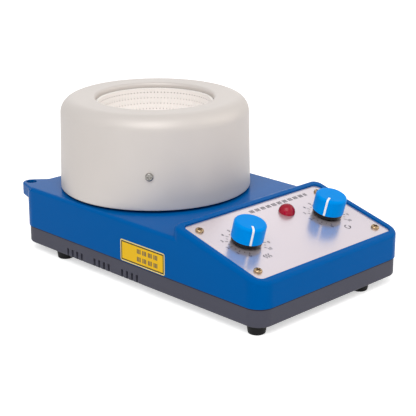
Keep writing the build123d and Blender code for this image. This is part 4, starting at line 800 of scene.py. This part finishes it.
# ---------------------------------------------------------------- stage
class MANTLE_OT_stage(Operator):
    """White floor, soft studio light and the camera"""
    bl_idname = "mantle.stage"
    bl_label = "Stage"

    def execute(self, context):
        self.floor(context)
        self.sky(context)
        for name, place, aim, size, power, tint in LAMPS:
            light = bpy.data.lights.new(name, "AREA")
            light.size, light.energy, light.color = size, power, tint
            self.stand(context, name, light, place, aim)
        lens = bpy.data.cameras.new("camera")
        lens.lens, lens.sensor_width = CAMERA_LENS, CAMERA_SENSOR
        lens.shift_x, lens.shift_y = CAMERA_SHIFT
        context.scene.camera = self.stand(context, "camera", lens, CAMERA_PLACE, CAMERA_AIM)
        context.scene.view_settings.view_transform = "Standard"
        return {"FINISHED"}

    def stand(self, context, name, data, place, target):
        """Lamp or camera that stands at a place and looks at a target."""
        made = bpy.data.objects.new(name, data)
        made.location = place
        made.rotation_mode = "QUATERNION"
        made.rotation_quaternion = (Vector(target) - Vector(place)).to_track_quat("-Z", "Y")
        context.scene.collection.objects.link(made)
        return made

    def floor(self, context):
        """Level paper floor, a grid of points, white where it is seen and shaded by the object."""
        mesh = bpy.data.meshes.new("floor")
        line = np.linspace(-FLOOR_HALF, FLOOR_HALF, FLOOR_POINTS)
        across, along = np.meshgrid(line, line)
        points = np.stack([across, along, 0 * across], axis=-1)
        index = np.arange(points[..., 0].size).reshape(across.shape)
        mesh.from_pydata(points.reshape(-1, 3), [], corners(index).reshape(-1, 4).tolist())
        made, tree = new_tree("Paper_white")
        glow = add(tree, "ShaderNodeMath", {1: FLOOR_GLOW}, {0: self.seen(tree)}, operation="MULTIPLY")
        sockets = {"Base Color": linear("#F2F2F2"), "Roughness": 1.0, "Specular IOR Level": 0.0}
        sockets["Emission Color"] = (1, 1, 1, 1)
        links = {"Emission Strength": glow.outputs[0]}
        surface = add(tree, "ShaderNodeBsdfPrincipled", sockets, links)
        add(tree, "ShaderNodeOutputMaterial", links={"Surface": surface.outputs[0]})
        mesh.materials.append(made)
        floor = bpy.data.objects.new("floor", mesh)
        context.scene.collection.objects.link(floor)

    def sky(self, context):
        """Even white surroundings, dimmer as light on things than where they are seen."""
        world = bpy.data.worlds.new("studio")
        context.scene.world = world
        world.use_nodes = True
        tree = world.node_tree
        tree.nodes.clear()
        values = {"To Min": SKY_LIGHT, "To Max": SKY_SEEN}
        strength = add(tree, "ShaderNodeMapRange", values, {"Value": self.seen(tree)}).outputs[0]
        light = add(tree, "ShaderNodeBackground", {"Color": (1, 1, 1, 1)}, {"Strength": strength})
        add(tree, "ShaderNodeOutputWorld", links={"Surface": light.outputs[0]})

    def seen(self, tree):
        """1 for rays from the camera, a reflection or a refraction, 0 for the light that falls on things."""
        path = add(tree, "ShaderNodeLightPath").outputs
        direct = {0: path["Is Camera Ray"], 1: path["Is Glossy Ray"]}
        either = add(tree, "ShaderNodeMath", links=direct, operation="MAXIMUM").outputs[0]
        links = {0: either, 1: path["Is Transmission Ray"]}
        return add(tree, "ShaderNodeMath", links=links, operation="MAXIMUM").outputs[0]


# ---------------------------------------------------------------- settings
def colour(name, description, tone):
    """Colour setting with an sRGB hex default."""
    return FloatVectorProperty(
        name=name, description=description, subtype="COLOR", size=4, min=0, max=1, default=linear(tone)
    )


def length(name, description, millimetres):
    """Length setting with a default in millimetres."""
    return FloatProperty(
        name=name, description=description, default=millimetres * MM, unit="LENGTH", precision=4
    )


class MANTLE_PG_finish(PropertyGroup):
    housing: colour("Housing", "Blue of the upper housing", "#005CA6")
    tray: colour("Tray", "Grey of the lower tray", "#4B4B57")
    pot: colour("Pot", "Satin metal of the pot", "#D4CDC8")
    panel: colour("Panel", "Brushed face plate", "#DED4DA")
    cloth: colour("Bowl", "Glass-fibre cloth", "#FFF9F5")
    knob: colour("Knobs", "Blue of the knob caps", "#0091EB")
    lamp: colour("Lamp", "Red of the lens", "#AA042A")
    label: colour("Label", "Yellow of the side label", "#F2C010")
    brass: colour("Brass", "Screws of the panel", "#AE9472")
    ink: colour("Ink", "Print on the panel", "#2A2630")


class MANTLE_PG_shape(PropertyGroup):
    sheet: length("Pot sheet", "Thickness of the pot's wall", 1.5)
    taper: length("Taper", "How much narrower the wall is at the shoulder", 1.3)
    shoulder: length("Shoulder", "Radius of the rolled shoulder", 11.6)
    opening: length("Opening", "Radius of the pot's mouth", 45.0)
    lip: length("Lip", "Radius of the lip's bend", 2.5)
    lip_depth: length("Lip depth", "How far the lip turns down", 4.6)
    cloth: length("Cloth", "Thickness of the bowl", 3.0)
    ring_pitch: length("Ring pitch", "Distance between turns of heating wire", 4.3)
    stitch_pitch: length("Stitch pitch", "Distance between stitches", 2.7)
    edge: length("Edge", "How far the bowl's hem stands above its sphere", 4.3)
    hem: length("Hem", "Thickness of the cloth at its hem", 1.1)
    edge_pitch: length("Edge pitch", "Distance between stitches over the edge", 2.0)
    rib: length("Rib", "Height of the cloth over a wire", 0.12)
    thread: length("Thread", "Thickness of the sewing thread", 0.55)
    figure: length("Figures", "Height of the figures round the dials", 2.6)
    figure_ring: length("Figure ring", "Radius on which the figures stand", 16.9)


class MANTLE_PT_sidebar(Panel):
    bl_idname = "MANTLE_PT_sidebar"
    bl_label = "Heating mantle"
    bl_space_type = "VIEW_3D"
    bl_region_type = "UI"
    bl_category = "Mantle"

    def draw(self, context):
        for group in (context.scene.mantle_finish, context.scene.mantle_shape):
            column = self.layout.column()
            for key in group.__annotations__:
                column.prop(group, key)
        for made in OPERATORS:
            self.layout.operator(made.bl_idname)


OPERATORS = (MANTLE_OT_housing, MANTLE_OT_pot, MANTLE_OT_bowl, MANTLE_OT_print, MANTLE_OT_stage)
CLASSES = (MANTLE_PG_finish, MANTLE_PG_shape, *OPERATORS, MANTLE_PT_sidebar)


def register():
    for made in CLASSES:
        bpy.utils.register_class(made)
    bpy.types.Scene.mantle_finish = PointerProperty(type=MANTLE_PG_finish)
    bpy.types.Scene.mantle_shape = PointerProperty(type=MANTLE_PG_shape)


def unregister():
    del bpy.types.Scene.mantle_shape
    del bpy.types.Scene.mantle_finish
    for made in reversed(CLASSES):
        bpy.utils.unregister_class(made)


def main():
    register()
    bpy.ops.mantle.housing()
    bpy.ops.mantle.pot()
    bpy.ops.mantle.bowl()
    bpy.ops.mantle.panel_print()
    bpy.ops.mantle.stage()


if __name__ == "__main__":
    main()
